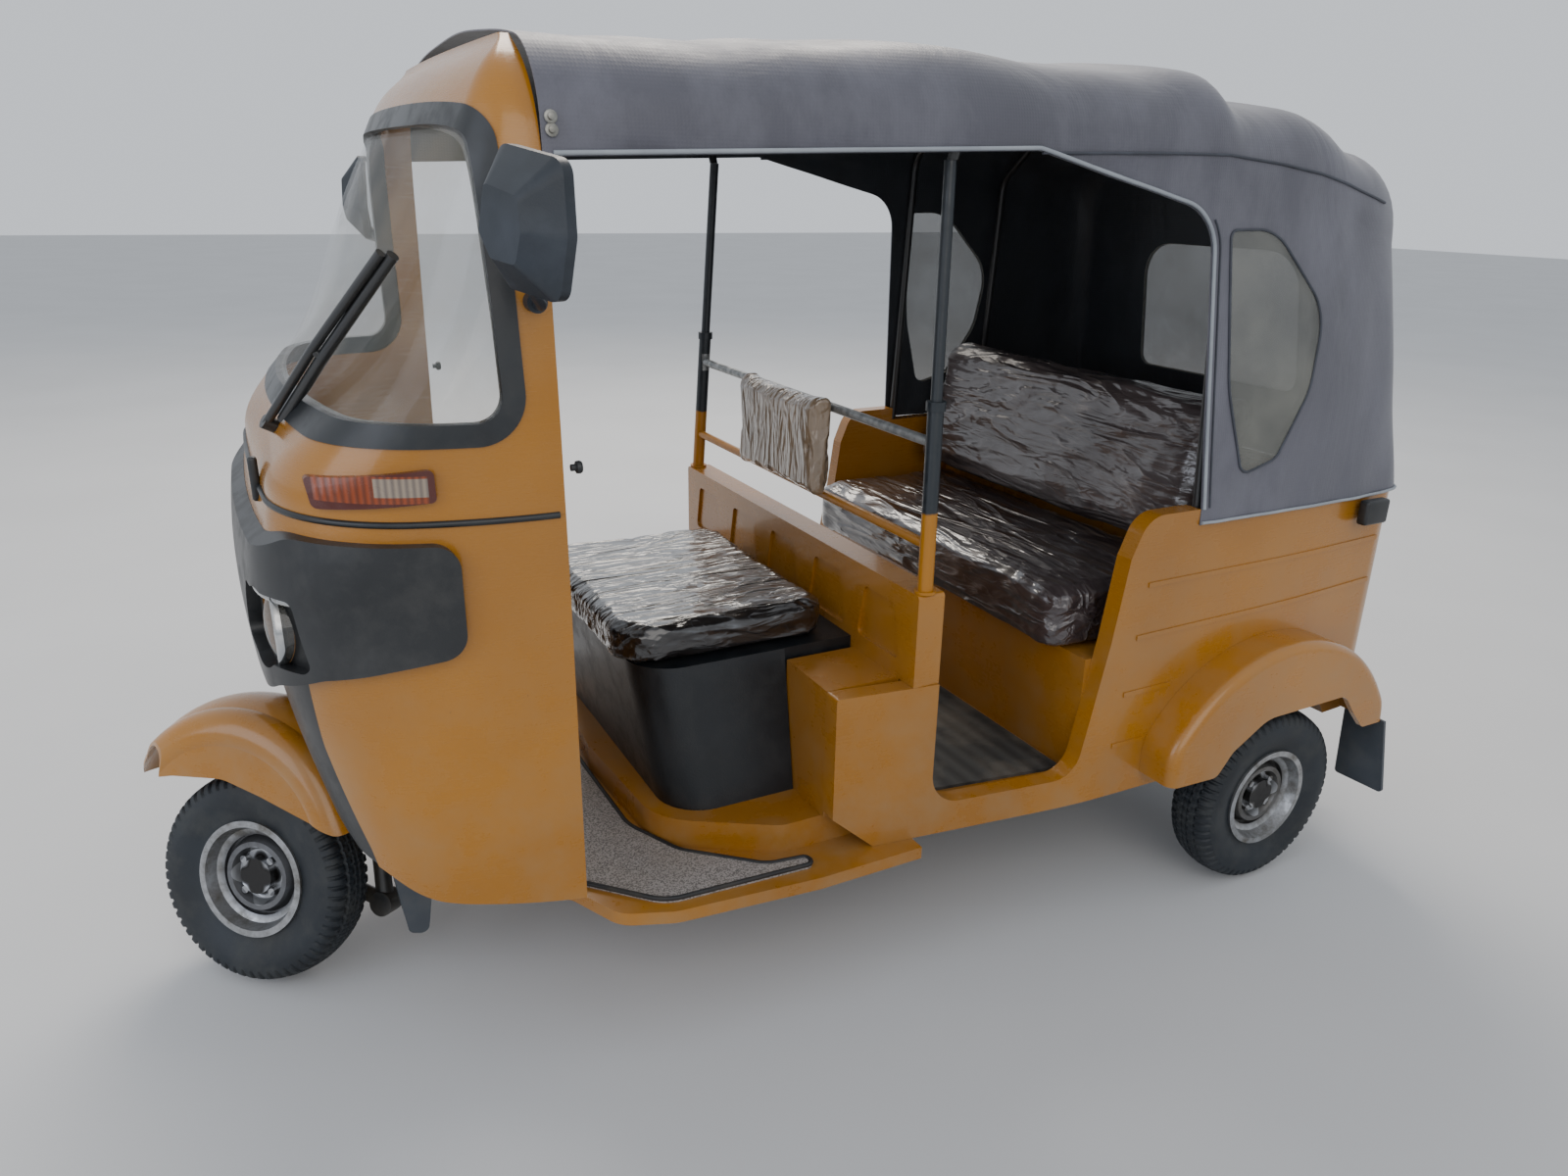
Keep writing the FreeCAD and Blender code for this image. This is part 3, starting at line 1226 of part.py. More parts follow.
def hoop(x, half_width, top, foot_z, foot_half):
    """A bent tube arch under the hood, cut off level at its feet."""
    side = half_width - HOOD_SKIN - HOOP_RADIUS - 5
    crown = top - HOOP_DROP
    knee = top - HOOP_KNEE_DROP
    shoulder = side - HOOD_CORNER_RADIUS
    arch = tube([
        V(x, foot_half, foot_z - 10), V(x, side, knee), V(x, shoulder, crown),
        V(x, 0, crown + HOOP_CROWN), V(x, -shoulder, crown), V(x, -side, knee),
        V(x, -foot_half, foot_z - 10),
    ], HOOP_RADIUS, 60)
    return arch.cut(block(x - 50, x + 50, -FAR, FAR, foot_z - 60, foot_z))


def canopy_frame():
    return Part.makeCompound([hoop(*row) for row in HOOP_ROWS])


# Power unit and rear suspension

def engine_block():
    main_block = block(-1085, -770, ENGINE_RIGHT_Y, ENGINE_LEFT_Y, 236, 500)
    gearbox = block(-771, -690, -110, 110, 260, 420)
    mounts = [block(-980, -920, y0, y1, 480, UPPER_RAIL_LOW_Z - SEAT_GAP)
              for y0, y1 in ((160, 215), (-215, -140))]
    return main_block.fuse([gearbox] + mounts)


def silencer():
    drum = rod(V(-1160, -350, 250), V(-1160, -60, 250), 58)
    pipe = tube([V(-1160, -340, 262), V(-1160, -420, 262), V(-1225, -420, 250)], 15, 26)
    hanger = block(-1172, -1148, -240, -224, 300, UPPER_RAIL_LOW_Z - SEAT_GAP)
    return drum.fuse([pipe, hanger])


def rear_suspension():
    """Trailing arms, dampers, drums and drive shafts, one set a side."""
    cases = []
    for side, engine_y in ((1, ENGINE_LEFT_Y), (-1, ENGINE_RIGHT_Y)):
        y = side * SUSPENSION_Y
        pivot = V(KICK_X - 18.3, y, 250)
        hub = V(REAR_AXLE_X, y, TYRE_RADIUS)
        stub_end = V(REAR_AXLE_X, side * (REAR_HALF_TRACK - HUB_BACK - SEAT_GAP), TYRE_RADIUS)
        shaft = rod(V(REAR_AXLE_X, engine_y - side * 10, 262), V(REAR_AXLE_X, side * 400, 212), 14)
        near, far = sorted([0, engine_y + side * SEAT_GAP])
        shaft = shaft.cut(block(-1000, -800, near, far, 200, 320))
        arm = rod(pivot, hub, 26)
        cases.append(arm.fuse([
            rod(pivot - V(0, 40, 0), pivot + V(0, 40, 0), 30),
            rod(hub, stub_end, 16),
            rod(hub + V(0, side * 20, 0), stub_end - V(0, side * 30, 0), 60),
            rod(V(REAR_AXLE_X, y, 220), V(REAR_AXLE_X, y, 524 - SEAT_GAP), 30),
            shaft,
        ]))
    return Part.makeCompound(cases)


def main():
    put("chassis_frame", chassis_frame())
    put("driver_floor", driver_floor())
    put("passenger_floor", passenger_floor())
    put("floor_mats", floor_mats())
    put("front_bulkhead", front_bulkhead())
    put("front_apron", front_apron())
    put("nose_panel", nose_panel())
    put("windscreen_frame", windscreen_frame())
    put("windscreen_gasket", windscreen_gasket())
    put("windscreen_glass", windscreen_glass())
    put("headlamp_bezel", headlamp_bezel())
    put("headlamps", headlamps())
    put("indicator_lamps", indicator_lamps())
    put("windscreen_wiper", windscreen_wiper())
    put("mirrors", mirrors())
    put("dashboard", dashboard())
    left_side = body_side()
    put("body_side_left", left_side)
    put("body_side_right", other_side(left_side))
    put("rear_panel", rear_panel())
    put("rear_lid", rear_lid())
    put("partition_wall", partition_wall())
    put("partition_frame", partition_frame())
    put("rear_inner", rear_inner())
    put("rear_fenders", rear_fenders())
    put("mudflaps", mudflaps())
    put("tail_lamps", tail_lamps())
    put("rear_bumper", rear_bumper())
    put("driver_seat_box", driver_seat_box())
    put("driver_seat_cushion", driver_seat_cushion())
    put("driver_backrest", driver_backrest())
    put("passenger_seat_cushion", passenger_seat_cushion())
    put("passenger_backrest", passenger_backrest())
    shell = hood_shell()
    put("canopy", shell.cut([side_window(0.0), rear_window(0.0)]))
    put("canopy_windows", hood_windows(shell))
    put("canopy_frame", canopy_frame())
    put("engine_block", engine_block())
    put("silencer", silencer())
    put("rear_suspension", rear_suspension())
    put("steering_fork", steering_fork(), REST_SPIN)
    put("handlebar", handlebar(), REST_SPIN)
    put("front_fender", front_fender(), REST_SPIN)
    put("front_link", front_link(), REST_SPIN)
    put("front_tyre", tyre(FRONT_HUB), REST_SPIN)
    put("front_rim", rim(FRONT_HUB, 1), REST_SPIN)
    for name, side in (("left", 1), ("right", -1)):
        centre = V(REAR_AXLE_X, side * REAR_HALF_TRACK, TYRE_RADIUS)
        put("rear_tyre_" + name, tyre(centre))
        put("rear_rim_" + name, rim(centre, side))


main()
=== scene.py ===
import math

import bpy
from mathutils import Matrix, Vector, noise


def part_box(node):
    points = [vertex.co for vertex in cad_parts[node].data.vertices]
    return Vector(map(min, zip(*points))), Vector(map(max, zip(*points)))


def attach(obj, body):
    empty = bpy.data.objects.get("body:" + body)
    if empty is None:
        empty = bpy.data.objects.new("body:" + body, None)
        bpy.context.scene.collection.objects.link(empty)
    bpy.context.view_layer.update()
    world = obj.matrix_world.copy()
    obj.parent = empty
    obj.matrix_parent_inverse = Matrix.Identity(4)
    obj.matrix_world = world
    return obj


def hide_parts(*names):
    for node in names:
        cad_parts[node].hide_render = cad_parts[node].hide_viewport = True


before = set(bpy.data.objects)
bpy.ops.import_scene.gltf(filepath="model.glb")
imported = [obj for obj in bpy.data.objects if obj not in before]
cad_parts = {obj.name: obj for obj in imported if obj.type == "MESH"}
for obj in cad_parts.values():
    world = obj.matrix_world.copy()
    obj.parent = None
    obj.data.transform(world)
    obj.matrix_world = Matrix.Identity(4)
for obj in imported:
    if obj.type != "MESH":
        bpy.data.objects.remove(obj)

bl_info = {
    "name": "Auto Rickshaw Dressing",
    "version": (1, 0, 0),
    "blender": (4, 5, 0),
    "location": "3D View > Sidebar > Rickshaw",
    "description": "Dresses the auto rickshaw: paint, hood, cushions, tyres, lamps and trim",
    "category": "Object",
}

# Places along the vehicle are in millimetres from the source's datum, which lies OX ahead of
# the origin. point() turns them into the scene's metres.
OX = 19.53
# seeds and shifts the noise that folds the seat film
SEED = 11

# Hood sections: station x at the hem, half width at the spring, top z, half width at the hem,
# and how far forward of the hem the crown leans
HOOD_ROWS = [
    (619.7, 482, 1668, 500, 0), (340, 490, 1673, 511, 0), (-50, 503, 1697, 530, 0),
    (-240, 508, 1683, 545, 0), (-430, 513, 1681, 558, 0), (-587, 517, 1690, 567, 0),
    (-655, 518, 1650, 570, 0), (-740, 519, 1640, 571, 0), (-835, 519, 1641, 571, 0),
    (-925, 518, 1624, 571, 20), (-1010, 512, 1594, 568, 45), (-1100, 504, 1570, 564, 70),
    (-1180, 490, 1562, 556, 90), (-1232, 472, 1548, 538, 100), (-1256, 445, 1520, 510, 100),
]
HEM_Z = 850.0
SPRING_DROP = 190.0
# side, corner and top radii of a hood section, and how many points each part gets
HOOD_RADII = (900.0, 130.0, 2400.0)
HOOD_COUNTS = (18, 4, 9, 12)
HOOD_STATIONS = 150
HOOD_BACK_ROWS = 24
CLOTH_THICKNESS = 2.2
# how far the cloth lies inside the source's face
CLOTH_INSET = 1.0
# above this height a fold lifts the cloth, and below it the fold pushes it outwards
ROOF_EDGE_Z = 1500.0
# how far folds on the sides, rays from the hem and ripples on the roof stand out
SIDE_FOLD, HEM_RAY, ROOF_RIPPLE = 2.2, 1.2, 1.8
# corners x, z, radius of the open side under the hood, and of the side window
DOOR_EDGE = [
    (900, 700, 0), (900, 1472, 0), (-185, 1511, 40), (-575, 1417, 90), (-610, 881, 0),
    (-610, 700, 0),
]
SIDE_WINDOW = [
    (-622, 1390, 14), (-740, 1392, 120), (-900, 1240, 110), (-880, 1090, 120), (-800, 962, 40),
    (-706, 938, 26), (-652, 1110, 300),
]
# corners y, z, radius of the rear window
REAR_WINDOW = [(-250, 1010, 30), (250, 1010, 30), (235, 1330, 90), (-235, 1330, 90)]
HOOPS_X = (-47.0, -622.0, -905.0)
# the welt from the door's top corner to the back corner of the roof, x and z
ROOF_SEAM = [
    (-190, 1508), (-470, 1515), (-600, 1516), (-740, 1504), (-850, 1489), (-935, 1472),
    (-1080, 1440),
]

# The nose's plan: rear station, side radius; rows of z, front x, half width, corner, front radius
NOSE_REAR_X = 620.0
NOSE_SIDE_RADIUS = 700.0
NOSE_ROWS = [
    (735, 1026, 509, 230, 4000), (870, 1028, 508, 240, 4000), (1003, 1004, 505, 250, 5000),
]
BLADE_BOX = ((1000, 160, 980), (1014, 174, 1050))
# the bezel's lamp window, corners y, z, radius
LAMP_WINDOW = [(160, 766, 16), (414, 778, 16), (389, 886, 18), (222, 875, 18)]
LAMP_FRONT = (1012.0, 296.0, 822.0)
LAMP_RADIUS = 62.0
# turned profiles of (along, radius): the lamp's dish, bulb and ring
LAMP_DISH = [
    (-52, 9), (-46, 24), (-34, 40), (-18, 52), (-2, 58), (-2, 59), (-20, 53.5), (-36, 41),
    (-48, 25), (-54, 9),
]
LAMP_BULB = [(-50, 0.4), (-50, 9), (-26, 9), (-19, 7), (-16, 3), (-15, 0.4)]
LAMP_RING = [(-6, 61.8), (2, 61.8), (5, 64), (4, 67), (0, 68.5), (-6, 68)]
# the bright strip over the lamp and the cheek beside it: first y, z and cord radius
STRIP_START, STRIP_END_Y, STRIP_RADIUS = (232, 869), 384, 5.5
CHEEK_START, CHEEK_RADIUS = (392, 862), 4.0

# corners y, z, radius of the mirror's face about its centre x, y, turned in plan
MIRROR_FACE = [
    (-75, 1388, 14), (-48, 1328, 14), (54, 1316, 20), (75, 1392, 30), (72, 1476, 22),
    (-52, 1496, 20),
]
MIRROR_MIDDLE_Z = 1406.0
MIRROR_GLASS_SHARE = 0.88
MIRROR_CENTRE = (675.0, 640.0)
MIRROR_TURN = 20.0
CATCH_BOX = ((-1150, 568, 795), (-1078, 592, 848))
# corners x, z, radius of the flap behind the front wheel, its first y and its width
FLAP_OUTLINE = [(884, 320, 4), (815, 320, 4), (815, 225, 20), (830, 128, 14), (864, 140, 14)]
FLAP_Y, FLAP_WIDTH = 75.0, 110.0
BOLT_X, BOLT_ROWS_Z = 606.0, (1531.0, 1515.0)
BOLT_HEAD = [(0, 0.3), (0, 9), (2, 9), (3, 7), (3, 5), (7, 5), (7.5, 4), (7.5, 0.3)]
KNOB_PLACE = (607.5, 497.0, 1068.0)
KNOB_PROFILE = [(0, 0.3), (0, 5), (6, 5), (8, 9), (13, 9.5), (16, 8), (17, 0.3)]
# corners x, y, radius of the front mat
FRONT_MAT = [
    (480, -506, 80), (596, -386, 30), (748, -270, 0), (748, 270, 0), (596, 386, 30),
    (480, 506, 80), (196, 520, 12), (200, 494, 10), (275, 484, 60), (400, 372, 90),
    (456, 250, 120), (460, 0, 0), (456, -250, 120), (400, -372, 90), (275, -484, 60),
    (200, -494, 10), (196, -520, 12),
]
FRONT_MAT_TOP = 296.0
MAT_EDGE_RADIUS = 4.5

# Where a finish changes on one piece, in the scene's metres: the posts' yellow feet end at
# FOOT_Z, the rubbed rail runs between the posts at RAIL_Z, and the mats change at MAT_SPLIT_X
FOOT_Z, RAIL_Z, RAIL_HALF_LENGTH = 0.930, 1.045, 0.475
MAT_SPLIT_X = 0.1
# the indicator's clear block and its face inside the rim: axis, middle and reach
INDICATOR_BLOCK = ((0, 0.856, 0.036), (2, 1.057, 0.013))
INDICATOR_FACE = ((0, 0.894, 0.070), (2, 1.054, 0.019))

# A tyre's section, across and radius
TYRE_PROFILE = [
    (-38, 107), (-40, 108), (-40, 118), (-44, 128), (-49, 142), (-52.2, 156), (-52.6, 166),
    (-51, 176), (-49.5, 184), (-46, 190), (-40, 195.5), (-34, 197.5), (-27, 199.5),
    (-25, 196.5), (-22.5, 196.5), (-20.5, 201), (-12, 202.2), (-9, 202.4), (-7.5, 199),
    (-5, 199), (-3.5, 202.8), (3.5, 202.8), (5, 199), (7.5, 199), (9, 202.4), (12, 202.2),
    (20.5, 201), (22.5, 196.5), (25, 196.5), (27, 199.5), (34, 197.5), (40, 195.5), (46, 190),
    (49.5, 184), (51, 176), (52.6, 166), (52.2, 156), (49, 142), (44, 128), (40, 118),
    (40, 108), (38, 107),
]
# radii past which a tyre has shoulder blocks and crown notches, and how deep these are
SHOULDER_RADIUS, SHOULDER_Y, SHOULDER_DEPTH = 176, 26, 4.5
CROWN_RADIUS, CROWN_DEPTH = 196, 3.0

# Cushions: piece, node, how much smaller it starts, voxel, how far the cloth may move,
# material, run of the folds, depth of the folds, and how full the padding is
SEATS = [
    ("Driver_Cushion", "driver_seat_cushion", (13, 13, 10), 7.0, 14, "seat_film",
     (0.5, 1.6, 1), 2.2, 0.8),
    ("Driver_Backrest", "driver_backrest", (7, 9, 9), 5.0, 10, "pad_film",
     (1, 2.0, 0.5), 2.4, 0.8),
    ("Bench_Cushion", "passenger_seat_cushion", (13, 13, 13), 9.0, 16, "bench_film",
     (1.6, 0.45, 1.6), 3.0, 0.7),
    ("Bench_Backrest", "passenger_backrest", (11, 13, 13), 9.0, 14, "back_film",
     (1.3, 0.4, 1.7), 3.6, 0.7),
]
CLOTH_FRAMES = 20
CLOTH_PRESSURE = 4.0
CLOTH_MASS = 0.3
# folds to the metre, and the parts of the folds' depth that dips and fine folds keep
FOLDS, FOLD_DIP, FINE_FOLD = 11, 0.6, 0.25

CAMERA_PLACE = (1.07465, 1.99865, 1.45543)
CAMERA_TURN = (69.83476, -1.02768, 152.44453)
CAMERA_LENS = 25.316
# name, place, target, size, power and colour
LIGHTS = [
    ("Key", (-1.5, -4.0, 6.0), (0, 0, 0.8), 4.0, 420, "#fff6ea"),
    ("Side", (1.5, 6.0, 4.0), (0, 0.3, 0.8), 5.0, 130, "#fdf6ee"),
    ("Front", (6.0, 1.5, 3.0), (0.8, 0, 0.8), 4.0, 100, "#eaf0ff"),
]


def point(x, y, z):
    """A place in millimetres from the source's datum, in the scene's metres."""
    return Vector(((x + OX) / 1000, y / 1000, z / 1000))


# Modelling helpers

def deselect():
    if bpy.context.object and bpy.context.object.mode != "OBJECT":
        bpy.ops.object.mode_set(mode="OBJECT")
    bpy.ops.object.select_all(action="DESELECT")


def choose(obj):
    deselect()
    obj.select_set(True)
    bpy.context.view_layer.objects.active = obj


def settle(obj):
    """Puts the object's place, turn and size into its mesh."""
    choose(obj)
    bpy.ops.object.transform_apply(location=True, rotation=True, scale=True)


def tidy_mesh(obj, distance=1e-5):
    """Merges doubles and turns the faces outwards."""
    choose(obj)
    bpy.ops.object.mode_set(mode="EDIT")
    bpy.ops.mesh.select_all(action="SELECT")
    bpy.ops.mesh.remove_doubles(threshold=distance)
    bpy.ops.mesh.normals_make_consistent(inside=False)
    bpy.ops.object.mode_set(mode="OBJECT")


def smooth(obj, angle=35.0):
    choose(obj)
    bpy.ops.object.shade_smooth_by_angle(angle=math.radians(angle))


def apply_all(obj):
    choose(obj)
    for modifier in list(obj.modifiers):
        bpy.ops.object.modifier_apply(modifier=modifier.name)


def grid_surface(name, across, along, place, close=True):
    """A grid primitive whose points are laid on a surface given by place(u, v), u and v 0 to 1."""
    deselect()
    bpy.ops.mesh.primitive_grid_add(x_subdivisions=across, y_subdivisions=along, size=1)
    obj = bpy.context.object
    obj.name = name
    for vertex in obj.data.vertices:
        vertex.co = place(min(max(vertex.co.x + 0.5, 0), 1), min(max(vertex.co.y + 0.5, 0), 1))
    if close:
        tidy_mesh(obj)
    return obj


def lathe(name, profile, segments, centre, axis, shape=None, closed=True):
    """A profile of (along, radius) in millimetres turned about an axis through centre."""
    axis = Vector(axis).normalized()
    side = axis.cross(Vector((0, 0, 1)) if abs(axis.z) < 0.9 else Vector((1, 0, 0))).normalized()
    up = side.cross(axis).normalized()
    count = len(profile) if closed else len(profile) - 1

    def place(u, v):
        i = round(u * count) % len(profile)
        along, radius = profile[i]
        if shape:
            along, radius = shape(i, round(v * segments) % segments, along, radius)
        turn = 2 * math.pi * v
        way = side * math.cos(turn) + up * math.sin(turn)
        return centre + (axis * along + way * radius) / 1000

    return grid_surface(name, count, segments, place)


def polygon(corners, steps=8):
    """The points of a closed outline with rounded corners (a, b, radius)."""
    points = []
    count = len(corners)
    for i, (a, b, radius) in enumerate(corners):
        corner = Vector((a, b))
        if radius <= 0:
            points.append(corner)
            continue
        before = (Vector(corners[i - 1][:2]) - corner).normalized()
        after = (Vector(corners[(i + 1) % count][:2]) - corner).normalized()
        half = before.angle(after) / 2
        centre = corner + (before + after).normalized() * (radius / math.sin(half))
        start = corner + before * (radius / math.tan(half)) - centre
        end = corner + after * (radius / math.tan(half)) - centre
        turn = math.atan2(start.x * end.y - start.y * end.x, start.dot(end))
        for k in range(steps + 1):
            c, s = math.cos(turn * k / steps), math.sin(turn * k / steps)
            points.append(centre + Vector((start.x * c - start.y * s, start.x * s + start.y * c)))
    return points


def corner_centre(side_c, side_r, front_c, front_r, corner_r):
    """The centre of the arc that joins a side arc and a front arc from inside both."""
    run = front_c - side_c
    a, b = side_r - corner_r, front_r - corner_r
    along = (a * a - b * b + run.length ** 2) / (2 * run.length)
    rise = math.sqrt(max(a * a - along * along, 0))
    unit = run.normalized()
    across = Vector((-unit.y, unit.x))
    centres = [side_c + unit * along + across * (s * rise) for s in (1, -1)]
    return max(centres, key=lambda p: p.x + p.y)


def stretches(points, step, closed=False):
    """The outline's points with more between them, at most step apart."""
    result = []
    ends = points[1:] + points[:1] if closed else points[1:]
    for a, b in zip(points, ends):
        steps = max(1, math.ceil((b - a).length / step))
        result += [a + (b - a) * k / steps for k in range(steps)]
    return result if closed else result + [points[-1]]


def prism(name, outline, place, depth):
    """A circle primitive laid on an outline of points by place(a, b), then extruded by depth."""
    deselect()
    bpy.ops.mesh.primitive_circle_add(vertices=len(outline), radius=1, fill_type="NGON")
    obj = bpy.context.object
    obj.name = name
    for vertex, p in zip(obj.data.vertices, outline):
        vertex.co = place(p[0], p[1])
    bpy.ops.object.mode_set(mode="EDIT")
    bpy.ops.mesh.select_all(action="SELECT")
    bpy.ops.mesh.extrude_region_move(TRANSFORM_OT_translate={"value": depth})
    bpy.ops.mesh.select_all(action="SELECT")
    bpy.ops.mesh.normals_make_consistent(inside=False)
    bpy.ops.object.mode_set(mode="OBJECT")
    return obj


def pipe(name, points, radius, closed=False, sides=3):
    """A round cord through points in metres, as a mesh."""
    curve = bpy.data.curves.new(name, "CURVE")
    curve.dimensions = "3D"
    curve.bevel_depth = radius / 1000
    curve.bevel_resolution = sides
    curve.use_fill_caps = True
    spline = curve.splines.new("POLY")
    spline.points.add(len(points) - 1)
    for item, p in zip(spline.points, points):
        item.co = (*p, 1)
    spline.use_cyclic_u = closed
    obj = bpy.data.objects.new(name, curve)
    bpy.context.scene.collection.objects.link(obj)
    choose(obj)
    bpy.ops.object.convert(target="MESH")
    obj = bpy.context.object
    smooth(obj, 60)
    return obj


def cut(obj, cutter):
    """Takes the cutter's body out of the object and removes the cutter."""
    modifier = obj.modifiers.new("Cut", "BOOLEAN")
    modifier.operation = "DIFFERENCE"
    modifier.solver = "EXACT"
    modifier.object = cutter
    apply_all(obj)
    bpy.data.objects.remove(cutter)


def rounded_box(name, low, high, radius, segments=3):
    """A cube primitive between two corners in millimetres, with bevelled edges."""
    deselect()
    a, b = point(*low), point(*high)
    bpy.ops.mesh.primitive_cube_add(size=1, location=(a + b) / 2)
    obj = bpy.context.object
    obj.name = name
    obj.scale = (abs(b.x - a.x), abs(b.y - a.y), abs(b.z - a.z))
    settle(obj)
    bpy.ops.object.mode_set(mode="EDIT")
    bpy.ops.mesh.select_all(action="SELECT")
    bpy.ops.mesh.bevel(offset=radius / 1000, segments=segments, affect="EDGES")
    bpy.ops.object.mode_set(mode="OBJECT")
    smooth(obj)
    return obj


def join(name, objects):
    deselect()
    for obj in objects:
        obj.select_set(True)
    bpy.context.view_layer.objects.active = objects[0]
    bpy.ops.object.join()
    obj = bpy.context.object
    obj.name = name
    return obj


def copied(obj, name, move):
    """A copy of a piece with its own mesh, moved by a matrix."""
    mesh = obj.data.copy()
    mesh.transform(move)
    if move.determinant() < 0:
        mesh.flip_normals()
    other = bpy.data.objects.new(name, mesh)
    bpy.context.scene.collection.objects.link(other)
    return other


def both_sides(obj):
    """The piece and its mirror image in one object."""
    other = copied(obj, obj.name + "_Right", Matrix.Diagonal((1, -1, 1, 1)))
    return join(obj.name, [obj, other])


def finish_piece(obj, material, body="body", nodes=()):
    """Gives a finished piece its material and its body, and the CAD nodes it stands for."""
    obj.data.materials.clear()
    obj.data.materials.append(material)
    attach(obj, body)
    if nodes:
        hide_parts(*nodes)
    return obj


# Materials

def linear(colour):
    """An sRGB hex colour as linear values with alpha."""
    values = [int(colour[i:i + 2], 16) / 255 for i in (1, 3, 5)]
    return [v / 12.92 if v <= 0.04045 else ((v + 0.055) / 1.055) ** 2.4 for v in values] + [1.0]


def wave_scale(pitch):
    """The scale at which a wave texture repeats every pitch millimetres."""
    return 1000 / pitch / (2 * math.pi) / 2


def feed(tree, node, inputs):
    """Sets a node's inputs, or links them where a node or a socket is given."""
    for key, value in inputs.items():
        if isinstance(value, bpy.types.Node):
            value = next(out for out in value.outputs if out.enabled)
        if isinstance(value, bpy.types.NodeSocket):
            tree.links.new(value, node.inputs[key])
        else:
            node.inputs[key].default_value = linear(value) if isinstance(value, str) else value


def add(tree, kind, inputs, **settings):
    """Adds a node with its settings and links."""
    node = tree.nodes.new("ShaderNode" + kind)
    for key, value in settings.items():
        setattr(node, key, value)
    feed(tree, node, inputs)
    return node


def new_material(name):
    """A material with its node tree, its shader and the object coordinates for its patterns."""
    material = bpy.data.materials.new(name)
    material.use_nodes = True
    tree = material.node_tree
    where = tree.nodes.new("ShaderNodeTexCoord").outputs["Object"]
    return material, tree, tree.nodes["Principled BSDF"], where


def enamel(name, colour, shade, dust, primer, gloss=0.3, chips=0.6):
    """Sprayed enamel on sheet steel: orange peel of about 4 mm, uneven tone, road dust that
    thins out upwards, fine scratches along the panels, and chips of 3 to 8 mm."""
    material, tree, shader, where = new_material(name)
    tone = add(tree, "TexNoise", {"Vector": where, "Scale": 3.0})
    tone = add(tree, "MapRange", {0: tone, 1: 0.35, 2: 0.68})
    base = add(tree, "Mix", {0: tone, 6: colour, 7: shade}, data_type="RGBA")
    level = add(tree, "SeparateXYZ", {0: where}).outputs[2]
    low = add(tree, "MapRange", {0: level, 1: 0.9, 2: 0.2, 3: 0.12, 4: 0.9})
    spots = add(tree, "TexNoise", {"Vector": where, "Scale": 9.0, "Detail": 8.0, "Roughness": 0.65})
    spots = add(tree, "MapRange", {0: spots, 1: 0.4, 2: 0.68})
    dusty = add(tree, "Math", {0: low, 1: spots}, operation="MULTIPLY")
    part = add(tree, "Math", {0: dusty, 1: 0.5}, operation="MULTIPLY")
    base = add(tree, "Mix", {0: part, 6: base, 7: dust}, data_type="RGBA")
    flecks = add(tree, "TexNoise", {"Vector": where, "Scale": 150.0, "Detail": 4.0,
                                    "Roughness": 0.7})
    flecks = add(tree, "MapRange", {0: flecks, 1: 0.7, 2: 0.715, 4: chips})
    fields = add(tree, "TexNoise", {"Vector": where, "Scale": 4.5, "Detail": 2.0})
    fields = add(tree, "MapRange", {0: fields, 1: 0.53, 2: 0.62})
    flecks = add(tree, "Math", {0: flecks, 1: fields}, operation="MULTIPLY")
    base = add(tree, "Mix", {0: flecks, 6: base, 7: primer}, data_type="RGBA")
    along = add(tree, "Mapping", {"Vector": where, "Scale": (0.25, 0.25, 2.4)})
    scratches = add(tree, "TexNoise", {"Vector": along, "Scale": 60.0, "Detail": 6.0,
                                       "Distortion": 0.6})
    scratches = add(tree, "MapRange", {0: scratches, 1: 0.4, 2: 0.75, 3: gloss, 4: gloss + 0.05})
    rough = add(tree, "Math", {0: dusty, 1: 0.28, 2: scratches}, operation="MULTIPLY_ADD")
    peel = add(tree, "TexNoise", {"Vector": where, "Scale": 260.0, "Detail": 2.0})
    waves = add(tree, "TexNoise", {"Vector": where, "Scale": 6.0, "Detail": 2.0})
    relief = add(tree, "Math", {0: waves, 1: 9.0, 2: peel}, operation="MULTIPLY_ADD")
    normal = add(tree, "Bump", {"Height": relief, "Distance": 0.00035, "Strength": 0.5})
    feed(tree, shader, {"Base Color": base, "Roughness": rough, "Normal": normal,
                        "Coat Weight": 0.4, "Coat Roughness": 0.1})
    return material


def moulded(name, colour, shade, dust, rough=0.42, grain=420.0, depth=0.12, dusting=0.25):
    """Moulded plastic or rubber: a fine mould grain, uneven gloss, and dust in patches."""
    material, tree, shader, where = new_material(name)
    tone = add(tree, "TexNoise", {"Vector": where, "Scale": 7.0, "Detail": 5.0})
    tone = add(tree, "MapRange", {0: tone, 1: 0.35, 2: 0.7})
    base = add(tree, "Mix", {0: tone, 6: colour, 7: shade}, data_type="RGBA")
    grime = add(tree, "TexNoise", {"Vector": where, "Scale": 16.0, "Detail": 8.0, "Roughness": 0.7})
    film = add(tree, "MapRange", {0: grime, 1: 0.46, 2: 0.76, 4: dusting})
    base = add(tree, "Mix", {0: film, 6: base, 7: dust}, data_type="RGBA")
    uneven = add(tree, "MapRange", {0: grime, 1: 0.46, 2: 0.76, 3: rough, 4: rough + 0.22})
    pits = add(tree, "TexNoise", {"Vector": where, "Scale": grain, "Detail": 3.0, "Roughness": 0.6})
    normal = add(tree, "Bump", {"Height": pits, "Distance": depth / 1000})
    feed(tree, shader, {"Base Color": base, "Roughness": uneven, "Normal": normal})
    return material


